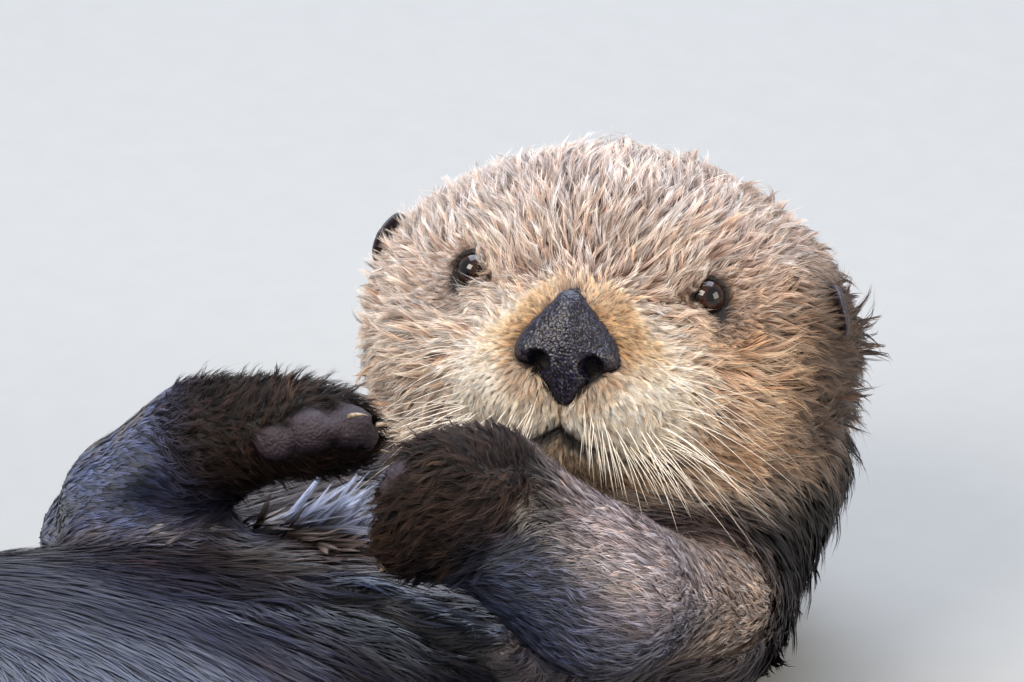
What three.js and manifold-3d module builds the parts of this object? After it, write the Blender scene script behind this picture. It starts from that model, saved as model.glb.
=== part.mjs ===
// A life-size sea otter that lies on its back, with its head raised to look along its belly,
// its forepaws held together on its chest and its hind flippers lifted.
//
// Units are millimetres. +Z is up, the head end is toward +Y and the otter's left is toward +X.
// Every mass of flesh is a field that is negative inside. Fields blend into one another, a grid
// wraps each blend in facets, and thin flat cuts part the result into the regions of the body.
// The outline is that of the coat, out to the tips of its hairs.
import * as THREE from 'three';
import { mergeVertices } from 'three/addons/utils/BufferGeometryUtils.js';
import Module from 'manifold-3d';

const wasm = await Module();
wasm.setup();

// ---------------------------------------------------------------- driving dimensions

const GAP = 0.3; // clear space between neighbouring pieces
const FIT = 0.5; // how far a piece is swollen before it cuts its neighbour
const CUT_REACH = 3000; // edge of a cutting block, larger than the animal

const CELL = { trunk: 29, head: 12.6, arm: 14.5, leg: 23, nose: 5.8 }; // facet spacing
const TAIL_CELL = new THREE.Vector3(18, 27, 11); // across, along and through the tail
const FOOT_CELL = new THREE.Vector3(11.5, 8, 17); // across, through and along a hind foot

const HEAD = {
  at: new THREE.Vector3(12, 78, 135.5), // middle of the skull
  turn: 26, // degrees to the otter's left of straight down the body
  lift: 20, // degrees above the level
  roll: 2.2, // degrees that the left side drops
};
const EYE = {
  side: 41.2,
  up: 17.4,
  depth: 8.6, // how far its middle lies under the tips of the coat
  radius: 7.6,
  opening: 5, // radius of the clear way out between the lids
  facets: [12, 7],
};
const NOSE = { up: -2, front: 80.5, width: 37, height: 40, depth: 18 };
const EAR = {
  side: 79.5,
  up: 17.5,
  front: 1,
  height: 24,
  width: 17.5,
  thickness: 7,
  cup: 5.5, // how far the middle is hollowed
  taper: 0.32, // share of the width lost at the tip
  lean: -0.35, // radians back
  swing: 0.9, // radians out to the side
};
const HEAD_CLEARANCE = 2; // least space between the head and a forearm

const CLAW = { root: 1.8, length: 7, bend: 0.5, sides: 4, rings: 1, buried: 3 };
const HIND_CLAW = { root: 2.8, length: 10, bend: 0.4, sides: 4, rings: 1, buried: 3.5 };

// ---------------------------------------------------------------- vectors and frames

const point = (x, y, z) => new THREE.Vector3(x, y, z);

/** A frame at a place whose Z axis runs along one direction and whose Y axis leans to another. */
function frameAlong(at, along, upward) {
  const zAxis = along.clone().normalize();
  const xAxis = upward.clone().cross(zAxis).normalize();
  const yAxis = zAxis.clone().cross(xAxis);
  return new THREE.Matrix4().makeBasis(xAxis, yAxis, zAxis).setPosition(at);
}

/** The skull's frame: X to the otter's left, Y to the crown and Z out through the nose. */
function skullFrame() {
  const turn = THREE.MathUtils.degToRad(HEAD.turn);
  const lift = THREE.MathUtils.degToRad(HEAD.lift);
  const forward = point(Math.sin(turn) * Math.cos(lift), -Math.cos(turn) * Math.cos(lift), Math.sin(lift));
  const frame = frameAlong(HEAD.at, forward, point(0, 0, 1));
  const roll = new THREE.Matrix4().makeRotationZ(-THREE.MathUtils.degToRad(HEAD.roll));
  return frame.multiply(roll);
}

// ---------------------------------------------------------------- fields of flesh

/** Distance to an ellipsoid, near enough to blend and to wrap. */
function mass(at, size) {
  return (p) => {
    const x = (p.x - at.x) / size.x;
    const y = (p.y - at.y) / size.y;
    const z = (p.z - at.z) / size.z;
    const reach = Math.hypot(x, y, z);
    const slope = Math.hypot(x / size.x, y / size.y, z / size.z);
    return slope < 1e-9 ? -Math.min(size.x, size.y, size.z) : (reach * (reach - 1)) / slope;
  };
}

/** Distance to a limb that tapers from one rounded end to the other. */
function limb(from, to, fromRadius, toRadius) {
  const axis = to.clone().sub(from);
  const lengthSquared = axis.lengthSq();
  return (p) => {
    const x = p.x - from.x;
    const y = p.y - from.y;
    const z = p.z - from.z;
    const share = THREE.MathUtils.clamp((x * axis.x + y * axis.y + z * axis.z) / lengthSquared, 0, 1);
    const away = Math.hypot(x - axis.x * share, y - axis.y * share, z - axis.z * share);
    return away - THREE.MathUtils.lerp(fromRadius, toRadius, share);
  };
}

/** Two fields melted together over a fillet of the given width. */
function melt(a, b, width) {
  const share = THREE.MathUtils.clamp(0.5 + (0.5 * (b - a)) / width, 0, 1);
  return THREE.MathUtils.lerp(b, a, share) - width * share * (1 - share);
}

/** Many fields melted into one body. */
function blend(width, fields) {
  return (p) => fields.map((field) => field(p)).reduce((a, b) => melt(a, b, width));
}

/** A field pressed flat, by a factor, toward the plane z = level. */
function flattened(field, level, factor) {
  const stretched = point(0, 0, 0);
  return (p) => field(stretched.set(p.x, p.y, level + (p.z - level) / factor)) * factor;
}

/** The same place on both sides of a frame whose X axis points to one side. */
const bothSides = (make) => [make(1), make(-1)];

// ---------------------------------------------------------------- wrapping a field in facets

/** Values of a field on a grid, kept positive on its outer layer so that the wrap closes. */
function sampleGrid(field, box, cell) {
  const size = box.getSize(point(0, 0, 0));
  const count = [size.x / cell.x, size.y / cell.y, size.z / cell.z].map((steps) => Math.ceil(steps) + 1);
  const stride = [1, count[0], count[0] * count[1]];
  const values = new Float64Array(count[0] * count[1] * count[2]);
  const p = point(0, 0, 0);
  for (let k = 0; k < count[2]; k += 1) {
    for (let j = 0; j < count[1]; j += 1) {
      for (let i = 0; i < count[0]; i += 1) {
        const onRim = [i, j, k].some((n, axis) => n === 0 || n === count[axis] - 1);
        p.set(i, j, k).multiply(cell).add(box.min);
        const value = field(p);
        values[i + j * stride[1] + k * stride[2]] = onRim ? Math.max(value, cell.x) : value;
      }
    }
  }
  fillPinches(values, count, stride);
  return { values, count, stride };
}

/** Fills each place where two parts of a body would meet only along an edge of the grid. */
function fillPinches(values, count, stride) {
  let filled = true;
  while (filled) {
    filled = false;
    for (let axis = 0; axis < 3; axis += 1) {
      const [u, v] = [stride[(axis + 1) % 3], stride[(axis + 2) % 3]];
      for (let here = 0; here + u + v < values.length; here += 1) {
        const [a, b, c, d] = [here, here + u, here + u + v, here + v];
        const crossed = values[a] < 0 === values[c] < 0 && values[b] < 0 === values[d] < 0;
        if (crossed && values[a] < 0 !== values[b] < 0) {
          const outer = values[a] < 0 ? [b, d] : [a, c];
          const nearer = values[outer[0]] < values[outer[1]] ? outer[0] : outer[1];
          values[nearer] = -values[nearer] * 0.1 - 1e-3;
          filled = true;
        }
      }
    }
  }
}

/** Slides a vertex along the steepest way until it stands on the surface of the field. */
function settle(field, vertex, reach) {
  const step = 0.5;
  const probe = point(0, 0, 0);
  const start = vertex.clone();
  for (let pass = 0; pass < 3; pass += 1) {
    const value = field(vertex);
    const slope = point(
      field(probe.copy(vertex).setX(vertex.x + step)) - value,
      field(probe.copy(vertex).setY(vertex.y + step)) - value,
      field(probe.copy(vertex).setZ(vertex.z + step)) - value,
    ).divideScalar(step);
    vertex.addScaledVector(slope, -value / Math.max(slope.lengthSq(), 0.25));
  }
  if (vertex.distanceTo(start) > reach) {
    vertex.copy(start);
  }
}

/** The middle of the places where the surface crosses the edges of one cell, or null. */
function cellVertex(grid, cell, box, corner) {
  const { values, stride } = grid;
  const sum = point(0, 0, 0);
  let crossings = 0;
  for (let axis = 0; axis < 3; axis += 1) {
    const [u, v] = [(axis + 1) % 3, (axis + 2) % 3];
    for (let side = 0; side < 4; side += 1) {
      const start = [...corner];
      start[u] += side & 1;
      start[v] += side >> 1;
      const index = start[0] + start[1] * stride[1] + start[2] * stride[2];
      const near = values[index];
      const far = values[index + stride[axis]];
      if (near < 0 !== far < 0) {
        start[axis] += near / (near - far);
        sum.add(point(...start));
        crossings += 1;
      }
    }
  }
  return crossings ? sum.divideScalar(crossings).multiply(cell).add(box.min) : null;
}

/** A closed mesh round the inside of a field: a vertex in each cell that the surface crosses. */
function wrap(field, box, cell) {
  const grid = sampleGrid(field, box, cell);
  const { values, count, stride } = grid;
  const positions = [];
  const vertexOf = new Map();
  const index = (i, j, k) => i + j * stride[1] + k * stride[2];
  for (let k = 0; k < count[2] - 1; k += 1) {
    for (let j = 0; j < count[1] - 1; j += 1) {
      for (let i = 0; i < count[0] - 1; i += 1) {
        const vertex = cellVertex(grid, cell, box, [i, j, k]);
        if (vertex) {
          settle(field, vertex, cell.x * 0.6);
          vertexOf.set(index(i, j, k), positions.length / 3);
          positions.push(vertex.x, vertex.y, vertex.z);
        }
      }
    }
  }
  const triangles = [];
  for (let k = 0; k < count[2] - 1; k += 1) {
    for (let j = 0; j < count[1] - 1; j += 1) {
      for (let i = 0; i < count[0] - 1; i += 1) {
        const here = index(i, j, k);
        const inside = values[here] < 0;
        for (let axis = 0; axis < 3; axis += 1) {
          const ringed = [i, j, k].every((n, other) => n > 0 || other === axis);
          if (ringed && inside !== values[here + stride[axis]] < 0) {
            const u = stride[(axis + 1) % 3];
            const v = stride[(axis + 2) % 3];
            const around = [here - u - v, here - v, here, here - u];
            const ring = around.map((cellIndex) => vertexOf.get(cellIndex));
            pushQuad(triangles, positions, inside ? ring : ring.reverse());
          }
        }
      }
    }
  }
  return closedGeometry(positions, triangles);
}

/** Two triangles for four corners, split along the shorter diagonal. */
function pushQuad(triangles, positions, [a, b, c, d]) {
  const at = (n) => point(0, 0, 0).fromArray(positions, n * 3);
  if (at(a).distanceTo(at(c)) <= at(b).distanceTo(at(d))) {
    triangles.push(a, b, c, a, c, d);
  } else {
    triangles.push(b, c, d, b, d, a);
  }
}

/** A geometry with shared vertices and nothing but their places. */
function closedGeometry(positions, triangles) {
  const geometry = new THREE.BufferGeometry();
  geometry.setAttribute('position', new THREE.Float32BufferAttribute(positions, 3));
  geometry.setIndex([...triangles]);
  return geometry;
}

// ---------------------------------------------------------------- cutting and joining

/** A geometry with its seams welded, ready to be a solid. */
function welded(geometry) {
  const bare = geometry.clone();
  bare.deleteAttribute('normal');
  bare.deleteAttribute('uv');
  return mergeVertices(bare, 1e-4);
}

/** The same closed geometry with every vertex moved outward. */
function swollen(geometry, depth) {
  const larger = welded(geometry);
  larger.computeVertexNormals();
  const places = larger.attributes.position;
  const place = point(0, 0, 0);
  const outward = point(0, 0, 0);
  for (let n = 0; n < places.count; n += 1) {
    outward.fromBufferAttribute(larger.attributes.normal, n);
    place.fromBufferAttribute(places, n).addScaledVector(outward, depth);
    places.setXYZ(n, place.x, place.y, place.z);
  }
  return larger;
}

/** A solid that can be cut, from a closed geometry. */
function solidOf(geometry) {
  const closed = welded(geometry);
  return new wasm.Manifold(
    new wasm.Mesh({
      numProp: 3,
      vertProperties: new Float32Array(closed.attributes.position.array),
      triVerts: new Uint32Array(closed.index.array),
    }),
  );
}

/** The geometry of a solid after its cuts. */
function geometryOf(solid) {
  const mesh = solid.getMesh();
  return closedGeometry(mesh.vertProperties, mesh.triVerts);
}

/** A block that fills everything on the side of a plane that its normal points to. */
function beyond(place, normal) {
  const block = new THREE.BoxGeometry(CUT_REACH, CUT_REACH, CUT_REACH).translate(0, 0, CUT_REACH / 2);
  const upward = Math.abs(normal.z) > 0.9 ? point(0, 1, 0) : point(0, 0, 1);
  const away = normal.clone().normalize();
  block.applyMatrix4(frameAlong(place.clone().addScaledVector(away, GAP / 2), away, upward));
  return solidOf(block);
}

/** A solid parted by flat cuts into pieces, in order from the first cut to the last. */
function parted(solid, cuts) {
  return [...cuts, null].map((cut, n) => {
    let piece = solid;
    if (cut) {
      piece = piece.intersect(beyond(cut.at, cut.normal.clone().negate()));
    }
    if (n > 0) {
      piece = piece.intersect(beyond(cuts[n - 1].at, cuts[n - 1].normal));
    }
    return piece;
  });
}

/** A geometry moved from one frame to another. */
const moved = (geometry, frame) => geometry.clone().applyMatrix4(frame);

// ---------------------------------------------------------------- trunk, neck and tail

const SPINE = {
  neck: { at: point(2, 112, 74), size: point(90, 74, 71) },
  neckBase: { at: point(2, 50, 54), size: point(92, 84, 55) },
  breast: { at: point(4, -75, 54), size: point(98, 112, 57) },
  leftShoulder: { at: point(68, 40, 50), size: point(44, 46, 38) },
  rightShoulder: { at: point(-64, 2, 50), size: point(44, 52, 38) },
  belly: { at: point(-6, -268, 68), size: point(148, 176, 74) },
  loin: { at: point(-2, -160, 50), size: point(120, 86, 53) },
  hips: { at: point(-14, -440, 66), size: point(120, 118, 69) },
};
const TAIL = {
  root: point(-17, -530, 24),
  middle: point(-26, -660, 16),
  tip: point(-48, -800, 12),
  radii: [56, 44, 31],
  level: 18,
  flatness: 0.56,
};
const TRUNK_BOX = new THREE.Box3(point(-220, -880, -60), point(220, 250, 240));
const TAIL_BOX = new THREE.Box3(point(-120, -862, -50), point(80, -516, 96));
const NECK_CUT = { at: point(0, 62, 60), normal: point(0, -1, -0.15) };
const CHEST_CUT = { at: point(0, -165, 80), normal: point(0, -1, 0.12) };
const LOIN_CUT = { at: point(0, -375, 80), normal: point(0, -1, 0.05) };
const TAIL_CUT = { at: point(0, -556, 30), normal: point(0, -1, 0.1) };
const FLOOR = { at: point(0, 0, -GAP / 2), normal: point(0, 0, 1) };

/** The flattened tail, thick at its root and blunt at its tip. */
function tailField() {
  const front = limb(TAIL.root, TAIL.middle, TAIL.radii[0], TAIL.radii[1]);
  const back = limb(TAIL.middle, TAIL.tip, TAIL.radii[1], TAIL.radii[2]);
  return flattened(blend(12, [front, back]), TAIL.level, TAIL.flatness);
}

/** Neck, chest, belly and hips in one body, with the tail. */
function trunkField() {
  const masses = Object.values(SPINE).map((part) => mass(part.at, part.size));
  return blend(34, [...masses, tailField()]);
}

// ---------------------------------------------------------------- head

const CRANIUM = { at: point(0, 6, -24), size: point(80, 58, 74) };
const BROW = { at: point(0, 24, 6), size: point(54, 39, 48) };
const TEMPLE = { at: point(43, 6, -8), size: point(43, 39, 54) };
const NAPE = { at: point(42, -8, -44), size: point(47, 44, 50) };
const CHEEK = { at: point(45, -15, 4), size: point(42, 36, 52) };
const JOWL = { at: point(28, -32, 14), size: point(38, 26, 42) };
const WHISKER_PAD = { at: point(18, -20, 57), size: point(25, 22, 30) };
const BRIDGE = { at: point(0, 4, 56), size: point(24, 17, 29) };
const CHIN = { at: point(0, -41, 52), size: point(22, 14, 26) };
const HEAD_BOX = new THREE.Box3(point(-112, -82, -122), point(112, 92, 118));

/** One of a pair of masses, on the left for side 1 and on the right for side -1. */
const pairedMass = (part, side) => mass(point(part.at.x * side, part.at.y, part.at.z), part.size);

/** The head's field in the skull's frame. */
function headField() {
  const sideMasses = [TEMPLE, NAPE, CHEEK, JOWL, WHISKER_PAD];
  const pairs = sideMasses.flatMap((part) => bothSides((side) => pairedMass(part, side)));
  const single = [CRANIUM, BROW, BRIDGE, CHIN].map((part) => mass(part.at, part.size));
  return blend(13, [...single, ...pairs]);
}

/** How far forward the head's surface stands at a place beside and above its middle. */
function faceFront(field, side, up) {
  let [inside, outside] = [0, HEAD_BOX.max.z];
  while (outside - inside > 0.01) {
    const middle = (inside + outside) / 2;
    if (field(point(side, up, middle)) < 0) {
      inside = middle;
    } else {
      outside = middle;
    }
  }
  return inside;
}

/** The bare nose: a broad pad over a narrow foot that reaches down to the lip. */
function noseField() {
  const half = NOSE.width / 2;
  const tall = NOSE.height / 4;
  const deep = NOSE.depth / 2;
  const wing = {
    at: point(half * 0.44, NOSE.up - 1, NOSE.front),
    size: point(half * 0.6, NOSE.height * 0.3, deep),
  };
  const crestAt = point(0, NOSE.up + NOSE.height * 0.26, NOSE.front - 2);
  const footAt = point(0, NOSE.up - NOSE.height * 0.27, NOSE.front);
  const crest = mass(crestAt, point(half * 0.62, tall, deep));
  const foot = mass(footAt, point(half * 0.42, tall, NOSE.depth / 2.4));
  return blend(5, [crest, foot, ...bothSides((side) => pairedMass(wing, side))]);
}

/** An ear of one side: a small leaf, cupped toward the front and narrow at its tip. */
function earOf(side) {
  const leaf = new THREE.SphereGeometry(1, 10, 7);
  leaf.scale(EAR.thickness / 2, EAR.height / 2, EAR.width / 2);
  const places = leaf.attributes.position;
  for (let n = 0; n < places.count; n += 1) {
    const up = places.getY(n) / (EAR.height / 2);
    const across = places.getZ(n) / (EAR.width / 2);
    const hollow = EAR.cup * (1 - across * across) * (1 - 0.4 * up * up);
    places.setX(n, places.getX(n) + hollow);
    places.setZ(n, places.getZ(n) * (1 - EAR.taper * Math.max(up, 0)));
  }
  leaf.rotateX(EAR.lean).rotateY(EAR.swing);
  if (side < 0) {
    leaf.scale(-1, 1, 1);
    leaf.index.array.reverse();
  }
  return leaf.translate(EAR.side * side, EAR.up, EAR.front);
}

// ---------------------------------------------------------------- limbs

const LEFT_ARM = {
  shoulder: point(60, 66, 46),
  elbow: point(108, 14, 78),
  middle: point(109, -62, 113),
  wrist: point(88, -92, 148),
  radii: [36, 20, 31, 28],
  palm: { from: point(84, -97, 156), to: point(72, -102, 153), radii: [26, 24] },
  across: point(0.3, -0.75, -0.55),
  reach: point(-0.85, 0.1, -0.5),
};
const RIGHT_ARM = {
  shoulder: point(-64, 6, 50),
  elbow: point(-99, -74, 76),
  middle: point(-70, -92, 106),
  wrist: point(-34, -102, 143),
  radii: [38, 24, 27, 25],
  palm: { from: point(-26, -100, 148), to: point(4, -88, 154), radii: [23, 21] },
  across: point(0.1, -0.75, 0.65),
  reach: point(0.87, 0.45, 0.1),
};
const FINGER = { count: 5, radius: 10, tipRadius: 8, length: 22, spread: 9.6 };
const LIMB_MARGIN = 62; // room that a wrapping box leaves round a limb's joints

/** Places of a paw's fingers: root and tip of each, fanned across the palm. */
function fingersOf(arm) {
  const reach = arm.reach.clone().normalize();
  const across = arm.across.clone().addScaledVector(reach, -arm.across.dot(reach)).normalize();
  const middle = (FINGER.count - 1) / 2;
  return Array.from({ length: FINGER.count }, (_, n) => {
    const offset = n - middle;
    const length = FINGER.length - 1.6 * offset * offset;
    const root = arm.palm.to.clone().addScaledVector(across, offset * FINGER.spread * 0.8);
    const tip = root.clone().addScaledVector(reach, length).addScaledVector(across, offset * 1.6);
    return { root, tip };
  });
}

/** An arm from the shoulder to the ends of the fingers. */
function armField(arm) {
  const joints = [arm.shoulder, arm.elbow, arm.middle, arm.wrist];
  const lengths = joints.slice(1).map((end, n) => limb(joints[n], end, arm.radii[n], arm.radii[n + 1]));
  const palm = limb(arm.palm.from, arm.palm.to, ...arm.palm.radii);
  const fingers = fingersOf(arm).map(({ root, tip }) => limb(root, tip, FINGER.radius, FINGER.tipRadius));
  return blend(9, [...lengths, palm, ...fingers]);
}

/** The direction that cuts squarely across a bent limb at its joint. */
function acrossBend(before, joint, after) {
  return joint.clone().sub(before).normalize().add(after.clone().sub(joint).normalize());
}

/** The flat cuts at an arm's elbow and wrist. */
function armCuts(arm) {
  return [
    { at: arm.elbow, normal: acrossBend(arm.shoulder, arm.elbow, arm.middle) },
    { at: arm.wrist, normal: acrossBend(arm.middle, arm.wrist, arm.palm.to) },
  ];
}

const LEG = {
  hip: point(74, -450, 84),
  knee: point(118, -410, 122),
  ankle: point(104, -520, 150),
  radii: [62, 46, 30],
  footAlong: point(0.26, -0.5, 0.82),
  footFace: point(0.1, 0.85, 0.5),
};
const FOOT = {
  count: 5,
  heel: 4,
  lengths: [128, 140, 152, 164, 176], // from the inner toe to the outer one, which is the longest
  rootSpacing: 12,
  tipSpacing: 24,
  rootRadius: 17,
  tipRadius: 11,
  webRadius: 9.5,
  webShare: 0.95,
  flatness: 0.62,
};

/** One of a pair of places, mirrored for side -1 across the plane that the hips straddle. */
const onSide = (place, side) => point((place.x + 14) * side - 14, place.y, place.z);
const aimOnSide = (aim, side) => point(aim.x * side, aim.y, aim.z);

/** A hind foot's frame: X across the toes, Y out of the sole and Z toward the toes. */
function footFrame(side) {
  return frameAlong(onSide(LEG.ankle, side), aimOnSide(LEG.footAlong, side), aimOnSide(LEG.footFace, side));
}

/** Root and tip of each toe in the foot's frame, the outer toe on the animal's outer side. */
function toesOf(side) {
  const middle = (FOOT.count - 1) / 2;
  return FOOT.lengths.map((length, n) => ({
    root: point((n - middle) * FOOT.rootSpacing * side, 0, 10),
    tip: point((n - middle) * FOOT.tipSpacing * side, 0, length),
  }));
}

/** A webbed hind foot: five toes with a thinner web between each two. */
function footField(side) {
  const toes = toesOf(side);
  const lengths = toes.map(({ root, tip }) => limb(root, tip, FOOT.rootRadius, FOOT.tipRadius));
  const webs = toes.slice(1).map(({ root, tip }, n) => {
    const from = root.clone().lerp(toes[n].root, 0.5);
    const to = tip.clone().lerp(toes[n].tip, 0.5).multiplyScalar(FOOT.webShare);
    return limb(from, to, FOOT.rootRadius, FOOT.webRadius);
  });
  const sole = limb(point(0, 0, FOOT.heel), point(0, 0, 40), 24, 33);
  const thick = blend(7, [sole, ...lengths, ...webs]);
  const stretched = point(0, 0, 0);
  return (p) => thick(stretched.set(p.x, p.y / FOOT.flatness, p.z)) * FOOT.flatness;
}

/** Thigh and shank of a hind leg. */
function legField(side) {
  const joints = [LEG.hip, LEG.knee, LEG.ankle].map((place) => onSide(place, side));
  return blend(14, joints.slice(1).map((end, n) => limb(joints[n], end, LEG.radii[n], LEG.radii[n + 1])));
}

/** A claw: a short bent cone along +Z, with its root a little behind the origin. */
function clawShape(size) {
  const cone = new THREE.ConeGeometry(size.root, size.length, size.sides, size.rings);
  cone.rotateX(Math.PI / 2);
  cone.translate(0, 0, size.length / 2 - size.buried);
  const places = cone.attributes.position;
  for (let n = 0; n < places.count; n += 1) {
    const along = places.getZ(n) / size.length;
    places.setY(n, places.getY(n) - size.bend * size.length * along * along);
  }
  return cone;
}

// ---------------------------------------------------------------- finishes

const FINISH = {
  faceFur: { color: '#cfae8c', roughness: 0.85 },
  neckFur: { color: '#5b4334', roughness: 0.8 },
  bodyFur: { color: '#3a3238', roughness: 0.6 },
  limbFur: { color: '#4c3c36', roughness: 0.65 },
  bareSkin: { color: '#3b3340', roughness: 0.5 },
  noseSkin: { color: '#1e1c26', roughness: 0.45 },
  eyeball: { color: '#1a1110', roughness: 0.08 },
  horn: { color: '#c9b79a', roughness: 0.35 },
};

/** A fresh material of one finish. */
const dressed = (finish) => new THREE.MeshStandardMaterial({ ...FINISH[finish], metalness: 0 });

/** A named piece in its finish. */
function piece(name, geometry, finish) {
  const mesh = new THREE.Mesh(geometry, dressed(finish));
  mesh.name = name;
  return mesh;
}

// ---------------------------------------------------------------- assembly

const SIDES = [
  { name: 'left', sign: 1, arm: LEFT_ARM },
  { name: 'right', sign: -1, arm: RIGHT_ARM },
];
const evenly = (spacing) => point(spacing, spacing, spacing);

/** A box round some places, with room for the flesh about them. */
const boxRound = (places, margin) => new THREE.Box3().setFromPoints(places).expandByScalar(margin);

/** Neck, chest, belly and hips, parted from one body that rests on the floor, and its tail. */
function buildTrunk(otter) {
  const body = wrap(trunkField(), TRUNK_BOX, evenly(CELL.trunk));
  const whole = solidOf(body).intersect(beyond(FLOOR.at, FLOOR.normal));
  const names = ['neck', 'chest', 'belly', 'hips'];
  const lengths = parted(whole, [NECK_CUT, CHEST_CUT, LOIN_CUT, TAIL_CUT]);
  names.forEach((name, n) => {
    otter.add(piece(name, geometryOf(lengths[n]), n === 0 ? 'neckFur' : 'bodyFur'));
  });
  const fineBody = solidOf(wrap(trunkField(), TAIL_BOX, TAIL_CELL));
  const tail = fineBody.intersect(beyond(TAIL_CUT.at, TAIL_CUT.normal));
  otter.add(piece('tail', geometryOf(tail.intersect(beyond(FLOOR.at, FLOOR.normal))), 'bodyFur'));
  return swollen(body, FIT);
}

/** The clear way from the middle of an eye, out through the coat between the lids. */
function betweenLids() {
  const reach = 2 * EYE.depth;
  const way = new THREE.CylinderGeometry(EYE.opening, EYE.opening, reach, EYE.facets[0]);
  return way.rotateX(Math.PI / 2).translate(0, 0, reach / 2);
}

/** Head with its eyes, nose and ears, in the skull's frame; it rests against the trunk. */
function buildHead(otter, trunkBlock) {
  const frame = skullFrame();
  const skull = new THREE.Group();
  skull.applyMatrix4(frame);
  const field = headField();
  const flesh = wrap(field, HEAD_BOX, evenly(CELL.head));
  const nose = wrap(noseField(), HEAD_BOX, evenly(CELL.nose));
  skull.add(piece('nose', nose, 'noseSkin'));
  let head = solidOf(flesh).subtract(solidOf(moved(trunkBlock, frame.clone().invert())));
  head = head.subtract(solidOf(swollen(nose, FIT)));
  const headBlock = solidOf(swollen(flesh, FIT));
  const eyeFront = faceFront(field, EYE.side, EYE.up) - EYE.depth;
  for (const { name, sign } of SIDES) {
    const eyeball = (radius) =>
      new THREE.SphereGeometry(radius, ...EYE.facets).translate(EYE.side * sign, EYE.up, eyeFront);
    const wayOut = betweenLids().translate(EYE.side * sign, EYE.up, eyeFront);
    head = head.subtract(solidOf(eyeball(EYE.radius + FIT))).subtract(solidOf(wayOut));
    skull.add(piece(`eye_${name}`, eyeball(EYE.radius), 'eyeball'));
    skull.add(piece(`ear_${name}`, geometryOf(solidOf(earOf(sign)).subtract(headBlock)), 'bareSkin'));
  }
  skull.add(piece('head', geometryOf(head), 'faceFur'));
  otter.add(skull);
  return moved(swollen(flesh, HEAD_CLEARANCE), frame);
}

/** A claw at the end of a digit, cut back to where it leaves the flesh. */
function clawOn(end, reach, lean, size, fleshBlock) {
  const claw = moved(clawShape(size), frameAlong(end, reach, lean));
  return geometryOf(solidOf(claw).subtract(fleshBlock));
}

/** Upper arm, forearm and forepaw of one side, with the claws. */
function buildArm(otter, { name, arm }, others) {
  const fingers = fingersOf(arm);
  const box = boxRound([arm.shoulder, arm.elbow, arm.wrist, ...fingers.map(({ tip }) => tip)], LIMB_MARGIN);
  const flesh = wrap(armField(arm), box, evenly(CELL.arm));
  const clear = others.reduce((solid, other) => solid.subtract(other), solidOf(flesh));
  const names = ['upper_arm', 'forearm', 'forepaw'];
  parted(clear, armCuts(arm)).forEach((part, n) => {
    otter.add(piece(`${names[n]}_${name}`, geometryOf(part), 'limbFur'));
  });
  const block = solidOf(swollen(flesh, FIT));
  fingers.forEach(({ root, tip }, n) => {
    const reach = tip.clone().sub(root).normalize();
    const end = tip.clone().addScaledVector(reach, FINGER.tipRadius);
    const claw = clawOn(end, reach, point(0, 0, 1), CLAW, block);
    otter.add(piece(`claw_fore_${name}_${n + 1}`, claw, 'horn'));
  });
  return block;
}

/** Thigh, shank and webbed foot of one side, with the claws. */
function buildLeg(otter, { name, sign }, trunkBlock) {
  const joints = [LEG.hip, LEG.knee, LEG.ankle].map((place) => onSide(place, sign));
  const flesh = wrap(legField(sign), boxRound(joints, LIMB_MARGIN + LEG.radii[0]), evenly(CELL.leg));
  const kneeCut = { at: joints[1], normal: acrossBend(...joints) };
  parted(solidOf(flesh).subtract(trunkBlock), [kneeCut]).forEach((part, n) => {
    otter.add(piece(`${['thigh', 'shank'][n]}_${name}`, geometryOf(part), 'limbFur'));
  });
  const toes = toesOf(sign);
  const frame = footFrame(sign);
  const footBox = boxRound(toes.flatMap(({ root, tip }) => [root, tip]), LIMB_MARGIN);
  const foot = moved(wrap(footField(sign), footBox, FOOT_CELL), frame);
  const clear = solidOf(foot).subtract(solidOf(swollen(flesh, FIT)));
  otter.add(piece(`hind_foot_${name}`, geometryOf(clear), 'bareSkin'));
  const footBlock = solidOf(swollen(foot, FIT));
  toes.forEach(({ root, tip }, n) => {
    const reach = tip.clone().sub(root).normalize();
    const end = tip.clone().addScaledVector(reach, FOOT.tipRadius - 1).applyMatrix4(frame);
    const lean = point(0, 1, 0).transformDirection(frame);
    const claw = clawOn(end, reach.transformDirection(frame), lean, HIND_CLAW, footBlock);
    otter.add(piece(`claw_hind_${name}_${n + 1}`, claw, 'horn'));
  });
}

/** The whole animal, lying on z = 0 with the middle of its box over the origin. */
function buildOtter() {
  const otter = new THREE.Group();
  const trunk = buildTrunk(otter);
  const blocks = [solidOf(trunk), solidOf(buildHead(otter, trunk))];
  for (const side of SIDES) {
    buildLeg(otter, side, blocks[0]);
    blocks.push(buildArm(otter, side, blocks));
  }
  otter.updateMatrixWorld(true);
  const box = new THREE.Box3().setFromObject(otter, true);
  const middle = box.getCenter(point(0, 0, 0));
  otter.position.set(-middle.x, -middle.y, -box.min.z);
  return otter;
}

export default buildOtter();
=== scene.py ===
"""A life-size sea otter lying on its back, dressed with skin, coat, eyes, nose, ears, claws and whiskers.

Metres, +Z up, the head end toward +Y and the otter's left toward +X. Sizes written in millimetres are
turned to metres with MM.
"""

import logging
import math
from collections.abc import Callable
from dataclasses import dataclass, field
from enum import Enum

import bmesh
import bpy
import numpy as np
from mathutils import Matrix, Vector
from mathutils.bvhtree import BVHTree
from mathutils.kdtree import KDTree


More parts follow.
